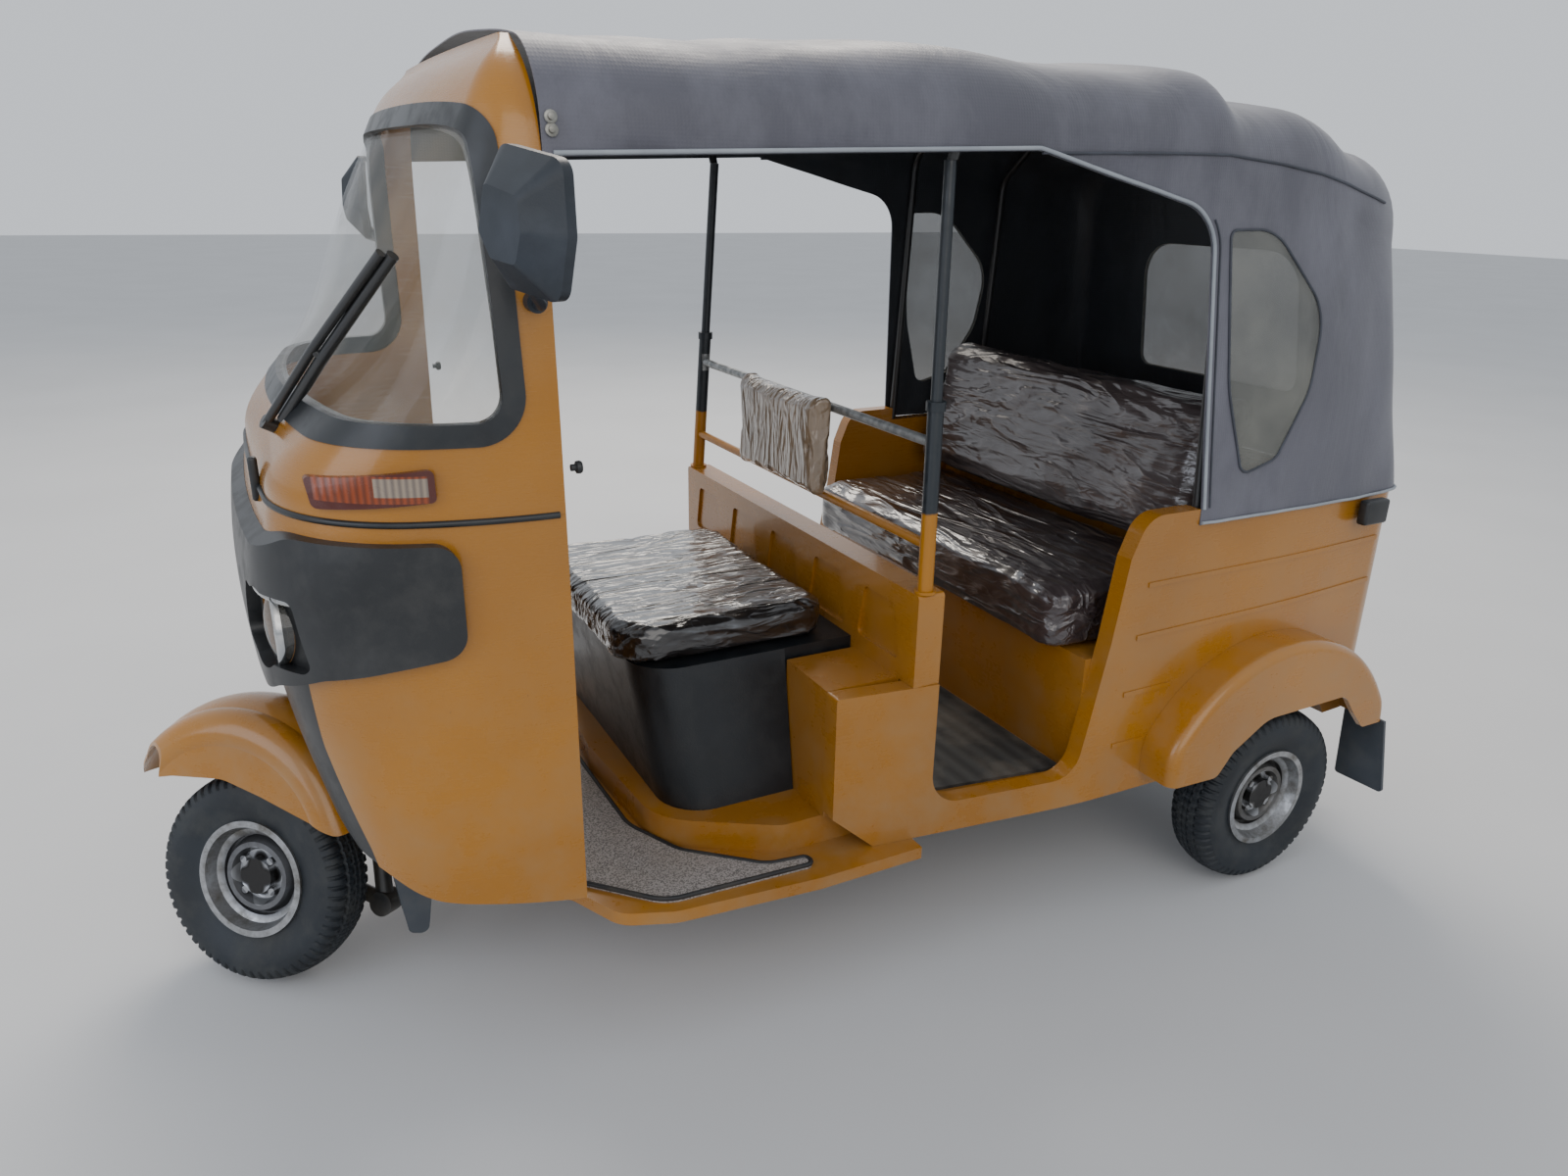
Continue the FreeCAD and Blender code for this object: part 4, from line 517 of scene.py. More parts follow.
def plated(name, colour, shade, rough=0.3, metallic=1.0, grain=90.0):
    """Plated or silver-painted steel: brushed streaks of about 10 mm, and tarnish in patches."""
    material, tree, shader, where = new_material(name)
    tarnish = add(tree, "TexNoise", {"Vector": where, "Scale": 14.0, "Detail": 8.0,
                                     "Roughness": 0.7})
    spots = add(tree, "MapRange", {0: tarnish, 1: 0.42, 2: 0.72})
    base = add(tree, "Mix", {0: spots, 6: colour, 7: shade}, data_type="RGBA")
    streak = add(tree, "TexNoise", {"Vector": where, "Scale": grain, "Detail": 6.0,
                                    "Roughness": 0.65})
    dull = add(tree, "MapRange", {0: tarnish, 1: 0.42, 2: 0.72, 3: rough, 4: rough + 0.3})
    normal = add(tree, "Bump", {"Height": streak, "Distance": 0.0001, "Strength": 0.5})
    feed(tree, shader, {"Base Color": base, "Metallic": metallic, "Roughness": dull,
                        "Normal": normal})
    return material


def wheel_steel(name, centre, axis, colour, shade, grime, dark):
    """Pressed wheel, silver sprayed: bright rolled edge and well, a grimy disc, and a dark
    four-lobed middle where the hub shows through. Read in the wheel's own axes."""
    material, tree, shader, where = new_material(name)
    turn = Vector((0, 1, 0)).rotation_difference(Vector(axis)).to_euler()
    own = add(tree, "Mapping", {"Vector": where, "Location": point(*centre), "Rotation": turn},
              vector_type="TEXTURE")
    parts = add(tree, "SeparateXYZ", {0: own})
    flat = add(tree, "CombineXYZ", {0: parts.outputs[0], 2: parts.outputs[2]})
    radius = add(tree, "VectorMath", {0: flat}, operation="LENGTH").outputs["Value"]
    angle = add(tree, "Math", {0: parts.outputs[0], 1: parts.outputs[2]}, operation="ARCTAN2")
    lobes = add(tree, "Math", {0: add(tree, "Math", {0: angle, 1: 4.0}, operation="MULTIPLY")},
                operation="COSINE")
    edge = add(tree, "Math", {0: lobes, 1: 0.007, 2: 0.033}, operation="MULTIPLY_ADD")
    star = add(tree, "Math", {0: radius, 1: edge}, operation="SUBTRACT")
    spots = add(tree, "TexNoise", {"Vector": where, "Scale": 24.0, "Detail": 8.0, "Roughness": 0.7})
    dirt = add(tree, "MapRange", {0: spots, 1: 0.4, 2: 0.66})
    base = add(tree, "Mix", {0: dirt, 6: colour, 7: shade}, data_type="RGBA")
    well = add(tree, "MapRange", {0: radius, 1: 0.088, 2: 0.078, 4: 0.75})
    base = add(tree, "Mix", {0: well, 6: base, 7: grime}, data_type="RGBA")
    ring = add(tree, "Math", {0: star, 1: 0.010, 2: 0.007}, operation="COMPARE")
    ring = add(tree, "Math", {0: ring, 1: 0.8}, operation="MULTIPLY")
    base = add(tree, "Mix", {0: ring, 6: base, 7: colour}, data_type="RGBA")
    middle = add(tree, "MapRange", {0: star, 1: 0.002, 2: -0.001})
    base = add(tree, "Mix", {0: middle, 6: base, 7: dark}, data_type="RGBA")
    rough = add(tree, "MapRange", {0: spots, 1: 0.4, 2: 0.66, 3: 0.3, 4: 0.55})
    metal = add(tree, "MapRange", {0: middle, 3: 0.85, 4: 0.2})
    relief = add(tree, "MapRange", {0: star, 1: -0.004, 2: 0.006})
    normal = add(tree, "Bump", {"Height": relief, "Distance": 0.004})
    feed(tree, shader, {"Base Color": base, "Metallic": metal, "Roughness": rough,
                        "Normal": normal})
    return material


def coated_cloth(name, colour, shade, dust, thread=1.4):
    """Coated hood canvas: threads drawn 1.4 mm apart so that they show, soft creases a hand
    wide, and faded, dusty patches."""
    material, tree, shader, where = new_material(name)
    tone = add(tree, "TexNoise", {"Vector": where, "Scale": 2.2, "Detail": 5.0, "Roughness": 0.6})
    tone = add(tree, "MapRange", {0: tone, 1: 0.35, 2: 0.7})
    base = add(tree, "Mix", {0: tone, 6: colour, 7: shade}, data_type="RGBA")
    tall = add(tree, "Mapping", {"Vector": where, "Scale": (1.0, 1.0, 0.45)})
    faded = add(tree, "TexNoise", {"Vector": tall, "Scale": 6.0, "Detail": 9.0, "Roughness": 0.7})
    patches = add(tree, "MapRange", {0: faded, 1: 0.45, 2: 0.75, 4: 0.45})
    base = add(tree, "Mix", {0: patches, 6: base, 7: dust}, data_type="RGBA")
    yarn = {"Vector": where, "Scale": wave_scale(thread), "Distortion": 0.6}
    warp = add(tree, "TexWave", yarn, bands_direction="X")
    weft = add(tree, "TexWave", yarn, bands_direction="Z")
    threads = add(tree, "Math", {0: warp, 1: weft}, operation="MULTIPLY")
    crease = add(tree, "TexNoise", {"Vector": tall, "Scale": 5.0, "Detail": 5.0, "Distortion": 1.2})
    relief = add(tree, "Math", {0: threads, 1: 0.03, 2: crease}, operation="MULTIPLY_ADD")
    normal = add(tree, "Bump", {"Height": relief, "Distance": 0.012, "Strength": 0.5})
    rough = add(tree, "MapRange", {0: faded, 1: 0.45, 2: 0.75, 3: 0.48, 4: 0.75})
    feed(tree, shader, {"Base Color": base, "Roughness": rough, "Normal": normal,
                        "Sheen Weight": 0.2, "Sheen Roughness": 0.5, "Coat Weight": 0.05,
                        "Coat Roughness": 0.35})
    return material


def wrapped_vinyl(name, colour, shade, painted_glint, stretch, folds=11.0):
    """Seat vinyl in its clear delivery film: folds 40 to 90 mm apart that run one way, a crinkle
    between them, a hard gloss, and painted highlights: pale lines painted into the colour along the
    crests, in patches."""
    material, tree, shader, where = new_material(name)
    tone = add(tree, "TexNoise", {"Vector": where, "Scale": 5.0, "Detail": 5.0})
    tone = add(tree, "MapRange", {0: tone, 1: 0.35, 2: 0.7})
    base = add(tree, "Mix", {0: tone, 6: colour, 7: shade}, data_type="RGBA")
    run = add(tree, "Mapping", {"Vector": where, "Scale": stretch})
    broad = add(tree, "TexNoise", {"Vector": run, "Scale": folds, "Detail": 2.0, "Distortion": 0.9})
    fine = add(tree, "TexNoise", {"Vector": run, "Scale": folds * 2.8, "Detail": 2.0,
                                  "Distortion": 0.8})
    crests = []
    for source, width in ((broad, 0.022), (fine, 0.02)):
        away = add(tree, "Math", {0: source, 1: 0.5}, operation="SUBTRACT")
        away = add(tree, "Math", {0: away}, operation="ABSOLUTE")
        crests.append((add(tree, "MapRange", {0: away, 1: width, 2: 0.0}), away))
    thin = add(tree, "Math", {0: crests[1][0], 1: 0.45}, operation="MULTIPLY")
    lines = add(tree, "Math", {0: crests[0][0], 1: thin}, operation="MAXIMUM")
    # painted highlight: the glint colour is painted along the fold crests, in patches, standing in
    # for the film's sheen
    patches = add(tree, "TexNoise", {"Vector": where, "Scale": 7.0, "Detail": 4.0,
                                     "Roughness": 0.6})
    painted_lit_patches = add(tree, "MapRange", {0: patches, 1: 0.46, 2: 0.66, 4: 0.4})
    painted_shine = add(tree, "Math", {0: lines, 1: painted_lit_patches}, operation="MULTIPLY")
    base = add(tree, "Mix", {0: painted_shine, 6: base, 7: painted_glint}, data_type="RGBA")
    high = add(tree, "MapRange", {0: crests[0][1], 1: 0.17, 2: 0.0})
    low = add(tree, "MapRange", {0: crests[1][1], 1: 0.17, 2: 0.0, 4: 0.2})
    relief = add(tree, "Math", {0: high, 1: low}, operation="ADD")
    normal = add(tree, "Bump", {"Height": relief, "Distance": 0.006, "Strength": 0.7})
    over = add(tree, "Bump", {"Height": relief, "Distance": 0.008, "Strength": 0.8})
    feed(tree, shader, {"Base Color": base, "Roughness": 0.3, "Normal": normal, "Coat Weight": 1.0,
                        "Coat Roughness": 0.07, "Coat IOR": 1.55, "Coat Normal": over})
    return material


def clear_sheet(name, tint, haze, rough, alpha):
    """Glass or clear vinyl sheet: mostly see-through, hazed by dust, with a sharp reflection."""
    material, tree, shader, where = new_material(name)
    dust = add(tree, "TexNoise", {"Vector": where, "Scale": 5.0, "Detail": 7.0, "Roughness": 0.65})
    film = add(tree, "MapRange", {0: dust, 1: 0.35, 2: 0.75})
    base = add(tree, "Mix", {0: film, 6: tint, 7: haze}, data_type="RGBA")
    cover = add(tree, "MapRange", {0: dust, 1: 0.35, 2: 0.75, 3: alpha, 4: alpha + 0.14})
    feed(tree, shader, {"Base Color": base, "Roughness": rough, "Alpha": cover,
                        "Specular IOR Level": 0.8, "Coat Weight": 0.5, "Coat Roughness": 0.03})
    return material


def lamp_lens(name, colour, shade, rib, axis):
    """Moulded acrylic lens: ribs a few millimetres apart under a polished face."""
    material, tree, shader, where = new_material(name)
    ribs = add(tree, "TexWave", {"Vector": where, "Scale": wave_scale(rib)}, bands_direction=axis)
    base = add(tree, "Mix", {0: ribs, 6: colour, 7: shade}, data_type="RGBA")
    normal = add(tree, "Bump", {"Height": ribs, "Distance": 0.0008, "Strength": 0.7})
    feed(tree, shader, {"Base Color": base, "Roughness": 0.15, "Normal": normal, "Coat Weight": 1.0,
                        "Coat Roughness": 0.04})
    return material


def indicator_lens(name, amber, brown, clear, smoked, rim):
    """Moulded acrylic turn lamp: ribbed amber in front, a ribbed clear block behind it, and a
    dark red rim all round."""
    material, tree, shader, where = new_material(name)
    parts = add(tree, "SeparateXYZ", {0: where})
    ribs = add(tree, "TexWave", {"Vector": where, "Scale": 36.0}, bands_direction="X")
    base = add(tree, "Mix", {0: ribs, 6: amber, 7: brown}, data_type="RGBA")
    pale = add(tree, "Mix", {0: ribs, 6: clear, 7: smoked}, data_type="RGBA")
    fields = []
    for bounds in (INDICATOR_BLOCK, INDICATOR_FACE):
        sides = [add(tree, "Math", {0: parts.outputs[axis], 1: middle, 2: reach},
                     operation="COMPARE")
                 for axis, middle, reach in bounds]
        fields.append(add(tree, "Math", {0: sides[0], 1: sides[1]}, operation="MULTIPLY"))
    block, face = fields
    base = add(tree, "Mix", {0: block, 6: base, 7: pale}, data_type="RGBA")
    base = add(tree, "Mix", {0: face, 6: rim, 7: base}, data_type="RGBA")
    spots = add(tree, "TexNoise", {"Vector": where, "Scale": 40.0, "Detail": 6.0})
    rough = add(tree, "MapRange", {0: spots, 1: 0.4, 2: 0.7, 3: 0.14, 4: 0.4})
    relief = add(tree, "Math", {0: ribs, 1: face}, operation="MULTIPLY")
    normal = add(tree, "Bump", {"Height": relief, "Distance": 0.001, "Strength": 0.7})
    feed(tree, shader, {"Base Color": base, "Roughness": rough, "Normal": normal,
                        "Coat Weight": 0.4, "Coat Roughness": 0.08})
    return material


def floor_mat(name, pale, speck, dark, rib, dust):
    """Rubber mats: the front one is pale with 3 mm specks, the rear one is dark with broad
    ribs. Both are worn and dusty."""
    material, tree, shader, where = new_material(name)
    grit = add(tree, "TexNoise", {"Vector": where, "Scale": 330.0, "Detail": 3.0, "Roughness": 0.6})
    spots = add(tree, "MapRange", {0: grit, 1: 0.47, 2: 0.57})
    front = add(tree, "Mix", {0: spots, 6: pale, 7: speck}, data_type="RGBA")
    ribs = add(tree, "TexWave", {"Vector": where, "Scale": 8.0}, bands_direction="X")
    rear = add(tree, "Mix", {0: ribs, 6: dark, 7: rib}, data_type="RGBA")
    station = add(tree, "SeparateXYZ", {0: where}).outputs[0]
    ahead = add(tree, "Math", {0: station, 1: MAT_SPLIT_X}, operation="GREATER_THAN")
    base = add(tree, "Mix", {0: ahead, 6: rear, 7: front}, data_type="RGBA")
    worn = add(tree, "TexNoise", {"Vector": where, "Scale": 8.0, "Detail": 7.0, "Roughness": 0.6})
    worn = add(tree, "MapRange", {0: worn, 1: 0.45, 2: 0.7, 4: 0.3})
    base = add(tree, "Mix", {0: worn, 6: base, 7: dust}, data_type="RGBA")
    ridges = add(tree, "Mix", {0: ahead, 6: ribs, 7: grit}, data_type="RGBA")
    normal = add(tree, "Bump", {"Height": ridges, "Distance": 0.0015})
    feed(tree, shader, {"Base Color": base, "Roughness": 0.72, "Normal": normal})
    return material


def post_paint(name, black, yellow, bright):
    """Sprayed tube: yellow feet and lower rail, black posts, and a rail rubbed bright by hands."""
    material, tree, shader, where = new_material(name)
    parts = add(tree, "SeparateXYZ", {0: where})
    ragged = add(tree, "TexNoise", {"Vector": where, "Scale": 60.0, "Detail": 5.0})
    level = add(tree, "Math", {0: ragged, 1: 0.012, 2: parts.outputs[2]}, operation="MULTIPLY_ADD")
    foot = add(tree, "MapRange", {0: level, 1: FOOT_Z + 0.002, 2: FOOT_Z - 0.002})
    side = add(tree, "Math", {0: parts.outputs[1], 1: 0.0, 2: RAIL_HALF_LENGTH},
               operation="COMPARE")
    rail = add(tree, "Math", {0: parts.outputs[2], 1: RAIL_Z, 2: 0.02}, operation="COMPARE")
    rail = add(tree, "Math", {0: rail, 1: side}, operation="MULTIPLY")
    worn = add(tree, "MapRange", {0: ragged, 1: 0.42, 2: 0.6, 3: 0.35, 4: 0.9})
    rail = add(tree, "Math", {0: rail, 1: worn}, operation="MULTIPLY")
    base = add(tree, "Mix", {0: rail, 6: black, 7: bright}, data_type="RGBA")
    base = add(tree, "Mix", {0: foot, 6: base, 7: yellow}, data_type="RGBA")
    rough = add(tree, "MapRange", {0: ragged, 1: 0.35, 2: 0.7, 3: 0.28, 4: 0.5})
    metal = add(tree, "MapRange", {0: rail, 4: 0.8})
    normal = add(tree, "Bump", {"Height": ragged, "Distance": 0.0004})
    feed(tree, shader, {"Base Color": base, "Roughness": rough, "Metallic": metal,
                        "Normal": normal})
    return material


MATERIALS = {}
# each wheel's body, its hub in the source's millimetres and its axle's direction
WHEELS = {
    "front": ("front_wheel", (1083.973, -41.2, 200.53), (0.664463, 0.7071068, 0.2418448)),
    "rear_left": ("rear_wheel_left", (-890.0, 575.0, 203.0), (0, 1, 0)),
    "rear_right": ("rear_wheel_right", (-890.0, -575.0, 203.0), (0, -1, 0)),
}


def as_hex(colour):
    return "#%02x%02x%02x" % tuple(round(255 * c) for c in colour)


def make_materials(settings):
    """Every material of the vehicle, by the name used below."""
    paint, canvas = as_hex(settings.paint_colour), as_hex(settings.hood_colour)
    MATERIALS.update({
        "paint": enamel("Enamel_Ochre", paint, "#94600f", "#8d7a5c", "#3a2313", 0.24, 0.6),
        "black_paint": enamel("Enamel_Black", "#15171a", "#202224", "#5f5747", "#3a2417", 0.4, 0.5),
        "rubber": moulded("Rubber_Screen_Seal", "#15181b", "#22272b", "#4d4b46", 0.34, 240, 0.1,
                          0.18),
        "black_plastic": moulded("Plastic_Black_Moulded", "#191b1d", "#26282a", "#5b5a56", 0.38,
                                 520, 0.1, 0.2),
        "mirror_plastic": moulded("Plastic_Mirror_Moulded", "#1b2127", "#28303a", "#5b6066", 0.42,
                                  420, 0.15, 0.2),
        # near-black, darker than the bezel: painted shade for the lamp recesses
        "recess_shade": moulded("Plastic_Painted_Recess_Shade", "#0c0d0e", "#141516", "#35342f", 0.45, 400, 0.1,
                          0.15),
        "tyre": moulded("Rubber_Tyre_Vulcanised", "#12171c", "#1d242b", "#5a5a55", 0.6, 300, 0.3,
                        0.35),
        "flap": moulded("Rubber_Flap_Sheet", "#3a3f45", "#474d54", "#6a6863", 0.5, 200, 0.2, 0.3),
        "hood": coated_cloth("Canvas_Coated", canvas, "#474750", "#7b7c86"),
        "lining": coated_cloth("Canvas_Lining", "#262b31", "#1f2429", "#484d54"),
        "piping": moulded("Piping_Vinyl", "#9aa0a6", "#868c93", "#6a6d70", 0.45, 300, 0.1, 0.3),
        "stitch": moulded("Welt_Canvas", "#3b3e47", "#30333b", "#6f7680", 0.6, 700, 0.2, 0.3),
        "window": clear_sheet("Vinyl_Clear_Sheet", "#5f605c", "#83837a", 0.2, 0.5),
        "screen": clear_sheet("Glass_Windscreen", "#8f9794", "#a39274", 0.05, 0.1),
        "lamp_glass": clear_sheet("Glass_Lamp", "#5d6266", "#77766f", 0.04, 0.4),
        "indicator": indicator_lens("Acrylic_Indicator", "#8a3a0e", "#63290a", "#948574", "#6f645b",
                                    "#4a160a"),
        "red": lamp_lens("Acrylic_Red", "#8a1210", "#5a0a0a", 4.0, "Y"),
        "chrome": plated("Chrome_Plated", "#c9cbcc", "#8d8b86", 0.14),
        "mirror_glass": plated("Mirror_Silvered", "#d3d6d8", "#b9bdbf", 0.03, 1.0, 20.0),
        "bolt": plated("Zinc_Plated", "#a9a9a4", "#6e6b62", 0.35),
        "cast": plated("Aluminium_Cast", "#77787a", "#55524c", 0.5, 0.8),
        # the fourth colour of each wrapped vinyl is its painted highlight along the fold crests
        "seat_film": wrapped_vinyl("Vinyl_Wrapped_Driver", "#1d1918", "#131010", "#b9c2cc",
                                   (0.4, 1.7, 1.2), 9.0),
        "bench_film": wrapped_vinyl("Vinyl_Wrapped_Bench", "#3d3536", "#2a2325", "#b3aca9",
                                    (1.7, 0.4, 1.7), 8.0),
        "back_film": wrapped_vinyl("Vinyl_Wrapped_Back", "#544b4a", "#3b3333", "#ada39a",
                                   (1.4, 0.35, 1.8), 8.0),
        "pad_film": wrapped_vinyl("Vinyl_Wrapped_Pad", "#86735d", "#655543", "#cfc8ba",
                                  (1.0, 2.2, 0.5), 11.0),
        "vinyl": moulded("Vinyl_Black_Sewn", "#0d1115", "#14191e", "#4c4b48", 0.36, 260, 0.35,
                         0.15),
        "mat": floor_mat("Rubber_Mats", "#a29c98", "#66625f", "#282929", "#3a3b3a", "#8e8475"),
        "mat_edge": moulded("Rubber_Mat_Edge", "#17181a", "#222325", "#5f5a50", 0.6, 260, 0.3,
                            0.35),
        "posts": post_paint("Enamel_Tube", "#20262b", paint, "#a3a5a4"),
    })
    for key, (_, centre, axis) in WHEELS.items():
        grime = "#55565a" if key == "front" else "#4a4742"
        MATERIALS["rim_" + key] = wheel_steel("Steel_Wheel_" + key, centre, axis, "#a9abae",
                                              "#6f6d68", grime, "#131110")


NODE_MATERIALS = {
    "paint": [
        "driver_floor", "passenger_floor", "front_bulkhead", "front_apron", "windscreen_frame",
        "body_side_left", "body_side_right", "rear_panel", "rear_lid", "partition_wall",
        "rear_fenders", "front_fender", "rear_inner",
    ],
    "black_paint": [
        "chassis_frame", "rear_bumper", "canopy_frame", "silencer", "rear_suspension",
        "steering_fork", "handlebar", "front_link", "windscreen_wiper",
    ],
    "vinyl": ["driver_seat_box"],
    "posts": ["partition_frame"],
    "black_plastic": ["nose_panel", "headlamp_bezel", "dashboard"],
    "mirror_plastic": ["mirrors"],
    "rubber": ["windscreen_gasket"],
    "flap": ["mudflaps"],
    "screen": ["windscreen_glass"],
    "window": ["canopy_windows"],
    "lamp_glass": ["headlamps"],
    "indicator": ["indicator_lamps"],
    "red": ["tail_lamps"],
    "mat": ["floor_mats"],
    "cast": ["engine_block"],
    "rim_front": ["front_rim"],
    "rim_rear_left": ["rear_rim_left"],
    "rim_rear_right": ["rear_rim_right"],
}


def dress_nodes():
    """Gives every carried-over CAD node its material."""
    for key, names in NODE_MATERIALS.items():
        for name in names:
            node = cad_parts[name]
            node.data.materials.clear()
            node.data.materials.append(MATERIALS[key])


# Hood

def hood_numbers(x):
    """The hood's section numbers at a station, smooth through HOOD_ROWS."""
    rows = HOOD_ROWS
    x = min(max(x, rows[-1][0]), rows[0][0])
    i = next(k for k in range(len(rows) - 1) if rows[k + 1][0] <= x)
    p0, p1, p2, p3 = rows[max(i - 1, 0)], rows[i], rows[i + 1], rows[min(i + 2, len(rows) - 1)]
    run = p2[0] - p1[0]
    t = (x - p1[0]) / run
    blend = (2 * t ** 3 - 3 * t ** 2 + 1, t ** 3 - 2 * t ** 2 + t,
             3 * t ** 2 - 2 * t ** 3, t ** 3 - t ** 2)
    result = []
    for k in (1, 2, 3, 4):
        before = (p2[k] - p0[k]) / (p2[0] - p0[0]) * run
        after = (p3[k] - p1[k]) / (p3[0] - p1[0]) * run
        result.append(blend[0] * p1[k] + blend[1] * before + blend[2] * p2[k] + blend[3] * after)
    return result


def hood_section(x):
    """Half a section of the hood from the hem to the crown, as (x, y, z) points."""
    half, top, hem_half, lean = hood_numbers(x)
    side_r, corner_r, top_r = HOOD_RADII
    spring = top - SPRING_DROP
    side_c, top_c = Vector((half - side_r, 0)), Vector((0, SPRING_DROP - top_r))
    corner_c = corner_centre(side_c, side_r, top_c, top_r, corner_r)
    turn_1 = math.atan2(corner_c.y - side_c.y, corner_c.x - side_c.x)
    turn_2 = math.atan2(corner_c.y - top_c.y, corner_c.x - top_c.x)
    count = HOOD_COUNTS[0]
    flat = [(hem_half + (half - hem_half) * k / count, HEM_Z + (spring - HEM_Z) * k / count)
            for k in range(count)]
    arcs = ((side_c, side_r, 0, turn_1), (corner_c, corner_r, turn_1, turn_2),
            (top_c, top_r, turn_2, math.pi / 2))
    for (centre, radius, start, end), count in zip(arcs, HOOD_COUNTS[1:]):
        for k in range(count):
            turn = start + (end - start) * k / count
            flat.append((centre.x + radius * math.cos(turn),
                         spring + centre.y + radius * math.sin(turn)))
    flat.append((0, top))
    return [Vector((x + lean * (z - HEM_Z) / (top - HEM_Z), y, z)) for y, z in flat]


def hood_y(x, z):
    """The hood's half width at a place on its side."""
    station = x
    for _ in range(5):
        _, top, _, lean = hood_numbers(station)
        station = x - lean * (z - HEM_Z) / (top - HEM_Z)
    points = hood_section(station)
    for a, b in zip(points, points[1:]):
        if a.z <= z <= b.z:
            return a.y + (b.y - a.y) * (z - a.z) / (b.z - a.z)
    return points[0].y


def hood_back_x(z):
    """The hood's back face at a height."""
    rear, _, top, _, lean = HOOD_ROWS[-1]
    return rear + lean * (z - HEM_Z) / (top - HEM_Z)


def hood_wave(x, y, z):
    """How far the cloth stands out of its smooth shape: folds between hoops and by the hem."""
    loose = min(min(abs(x - h) for h in HOOPS_X) / 180, 1.0)
    folds = math.sin(x * 0.031 + 0.9 * math.sin(z * 0.012)) * math.sin(z * 0.011 + 1.3)
    rays = math.sin((x + 1000) * 0.045 + z * 0.02) * max(0, (1200 - z) / 400) * (x < -640)
    roof = math.sin(y * 0.021 + x * 0.006) * math.cos(x * 0.017) * (z > ROOF_EDGE_Z)
    return SIDE_FOLD * loose * folds + HEM_RAY * rays + ROOF_RIPPLE * loose * roof


def build_hood():
    """The hood as one curved sheet, lined inside, with its openings cut."""
    half_count = sum(HOOD_COUNTS)
    front, rear = HOOD_ROWS[0][0], HOOD_ROWS[-1][0]
    step = (rear - front) / HOOD_STATIONS
    sections = [hood_section(front + step * i) for i in range(HOOD_STATIONS + 1)]

    def side_of(k):
        return (k, 1) if k <= half_count else (2 * half_count - k, -1)

    def place(u, v):
        k, sign = side_of(round(u * 2 * half_count))
        p = sections[round(v * HOOD_STATIONS)][k]
        out = hood_wave(p.x, p.y * sign, p.z)
        if p.z < ROOF_EDGE_Z:
            return point(p.x, sign * (p.y - CLOTH_INSET + out), p.z)
        return point(p.x, sign * (p.y - CLOTH_INSET), p.z + out - CLOTH_INSET)

    def back_place(u, v):
        k, sign = side_of(round(u * 2 * half_count))
        p = sections[-1][k]
        z = HEM_Z + (p.z - HEM_Z) * (1 - v)
        sag = 3 * math.sin(v * 3) * math.sin(z * 0.012)
        return point(hood_back_x(z) - CLOTH_INSET - sag, sign * (p.y - CLOTH_INSET) * (1 - v), z)

    shell = grid_surface("Hood_Cover", 2 * half_count, HOOD_STATIONS, place, close=False)
    back = grid_surface("Hood_Back", 2 * half_count, HOOD_BACK_ROWS, back_place, close=False)
    shell = join("Hood_Cover", [shell, back])
    tidy_mesh(shell, 3e-3)
    thick = shell.modifiers.new("Thick", "SOLIDIFY")
    thick.thickness = CLOTH_THICKNESS / 1000
    thick.offset = -1
    apply_all(shell)
    wide = Vector((0, 1.6, 0))
    for outline in (DOOR_EDGE, SIDE_WINDOW):
        cut(shell, prism("Side_Cutter", polygon(outline), lambda a, b: point(a, -800, b), wide))
    deep = Vector((0.18, 0, 0))
    cut(shell, prism("Rear_Cutter", polygon(REAR_WINDOW), lambda a, b: point(-1300, a, b), deep))
    smooth(shell, 40)
    finish_piece(shell, MATERIALS["hood"], "body", ["canopy"])
    shell.data.materials.append(MATERIALS["lining"])
    for face in shell.data.polygons:
        away = face.center - Vector((min(max(face.center.x, -1.1), 0.6), 0, 1.25))
        face.material_index = int(face.normal.dot(away) < 0)
    return shell


def build_piping(shell, settings):
    """Pale piping round the open side and the hem, and welts round the windows and the roof."""
    radius = settings.piping * 500
    opening = polygon(DOOR_EDGE, 14)
    start = next(i for i, p in enumerate(opening) if p.y > 1400)
    ends = [p for p in opening[start:] if p.y >= HEM_Z + 5]
    path = [p for p in stretches(ends, 20) if p.x <= 606]
    pale, dark = [], []

    def lie(p, lift):
        fold = max(hood_wave(p.x, 500, p.y), 0)
        return point(p.x, hood_y(p.x, p.y) + lift + fold, p.y)

    rows = ((4.5, 1.6, radius, pale), (20.0, 0.4, radius * 0.5, dark))
    for grow, lift, size, store in rows:
        points = []
        for i, p in enumerate(path):
            ahead = path[min(i + 1, len(path) - 1)] - path[max(i - 1, 0)]
            out = Vector((ahead.y, -ahead.x)).normalized()
            if store is pale or p.y < 1400:
                points.append(lie(p + out * grow, lift))
        store.append(pipe("Piping", points, size))
    seam = stretches([Vector(p) for p in ROOF_SEAM], 20)
    dark.append(pipe("Roof_Welt", [lie(p, 0.6) for p in seam], radius * 0.7))
    hem = [Vector((x, HEM_Z + 4)) for x in range(-612, -1250, -10)]
    pale.append(pipe("Hem", [lie(p, 1.2) for p in hem], radius * 0.9))
    ring = stretches(polygon(SIDE_WINDOW, 10), 20, True)
    dark.append(pipe("Window_Welt", [lie(p, 0.5) for p in ring], radius * 0.7, True))
    pale = [both_sides(join("Piping", pale))]
    dark = [both_sides(join("Welts", dark))]
    hem = [point(hood_back_x(HEM_Z) - 2.5, y, HEM_Z + 4) for y in range(-508, 509, 36)]
    pale.append(pipe("Hem_Back", hem, radius * 0.9))
    ring = [point(hood_back_x(p.y) - 3, p.x, p.y) for p in polygon(REAR_WINDOW, 10)]
    dark.append(pipe("Rear_Welt", ring, radius * 0.7, True))
    trim = finish_piece(join("Hood_Piping", pale), MATERIALS["piping"])
    welts = finish_piece(join("Hood_Welts", dark), MATERIALS["stitch"])


# Wheels

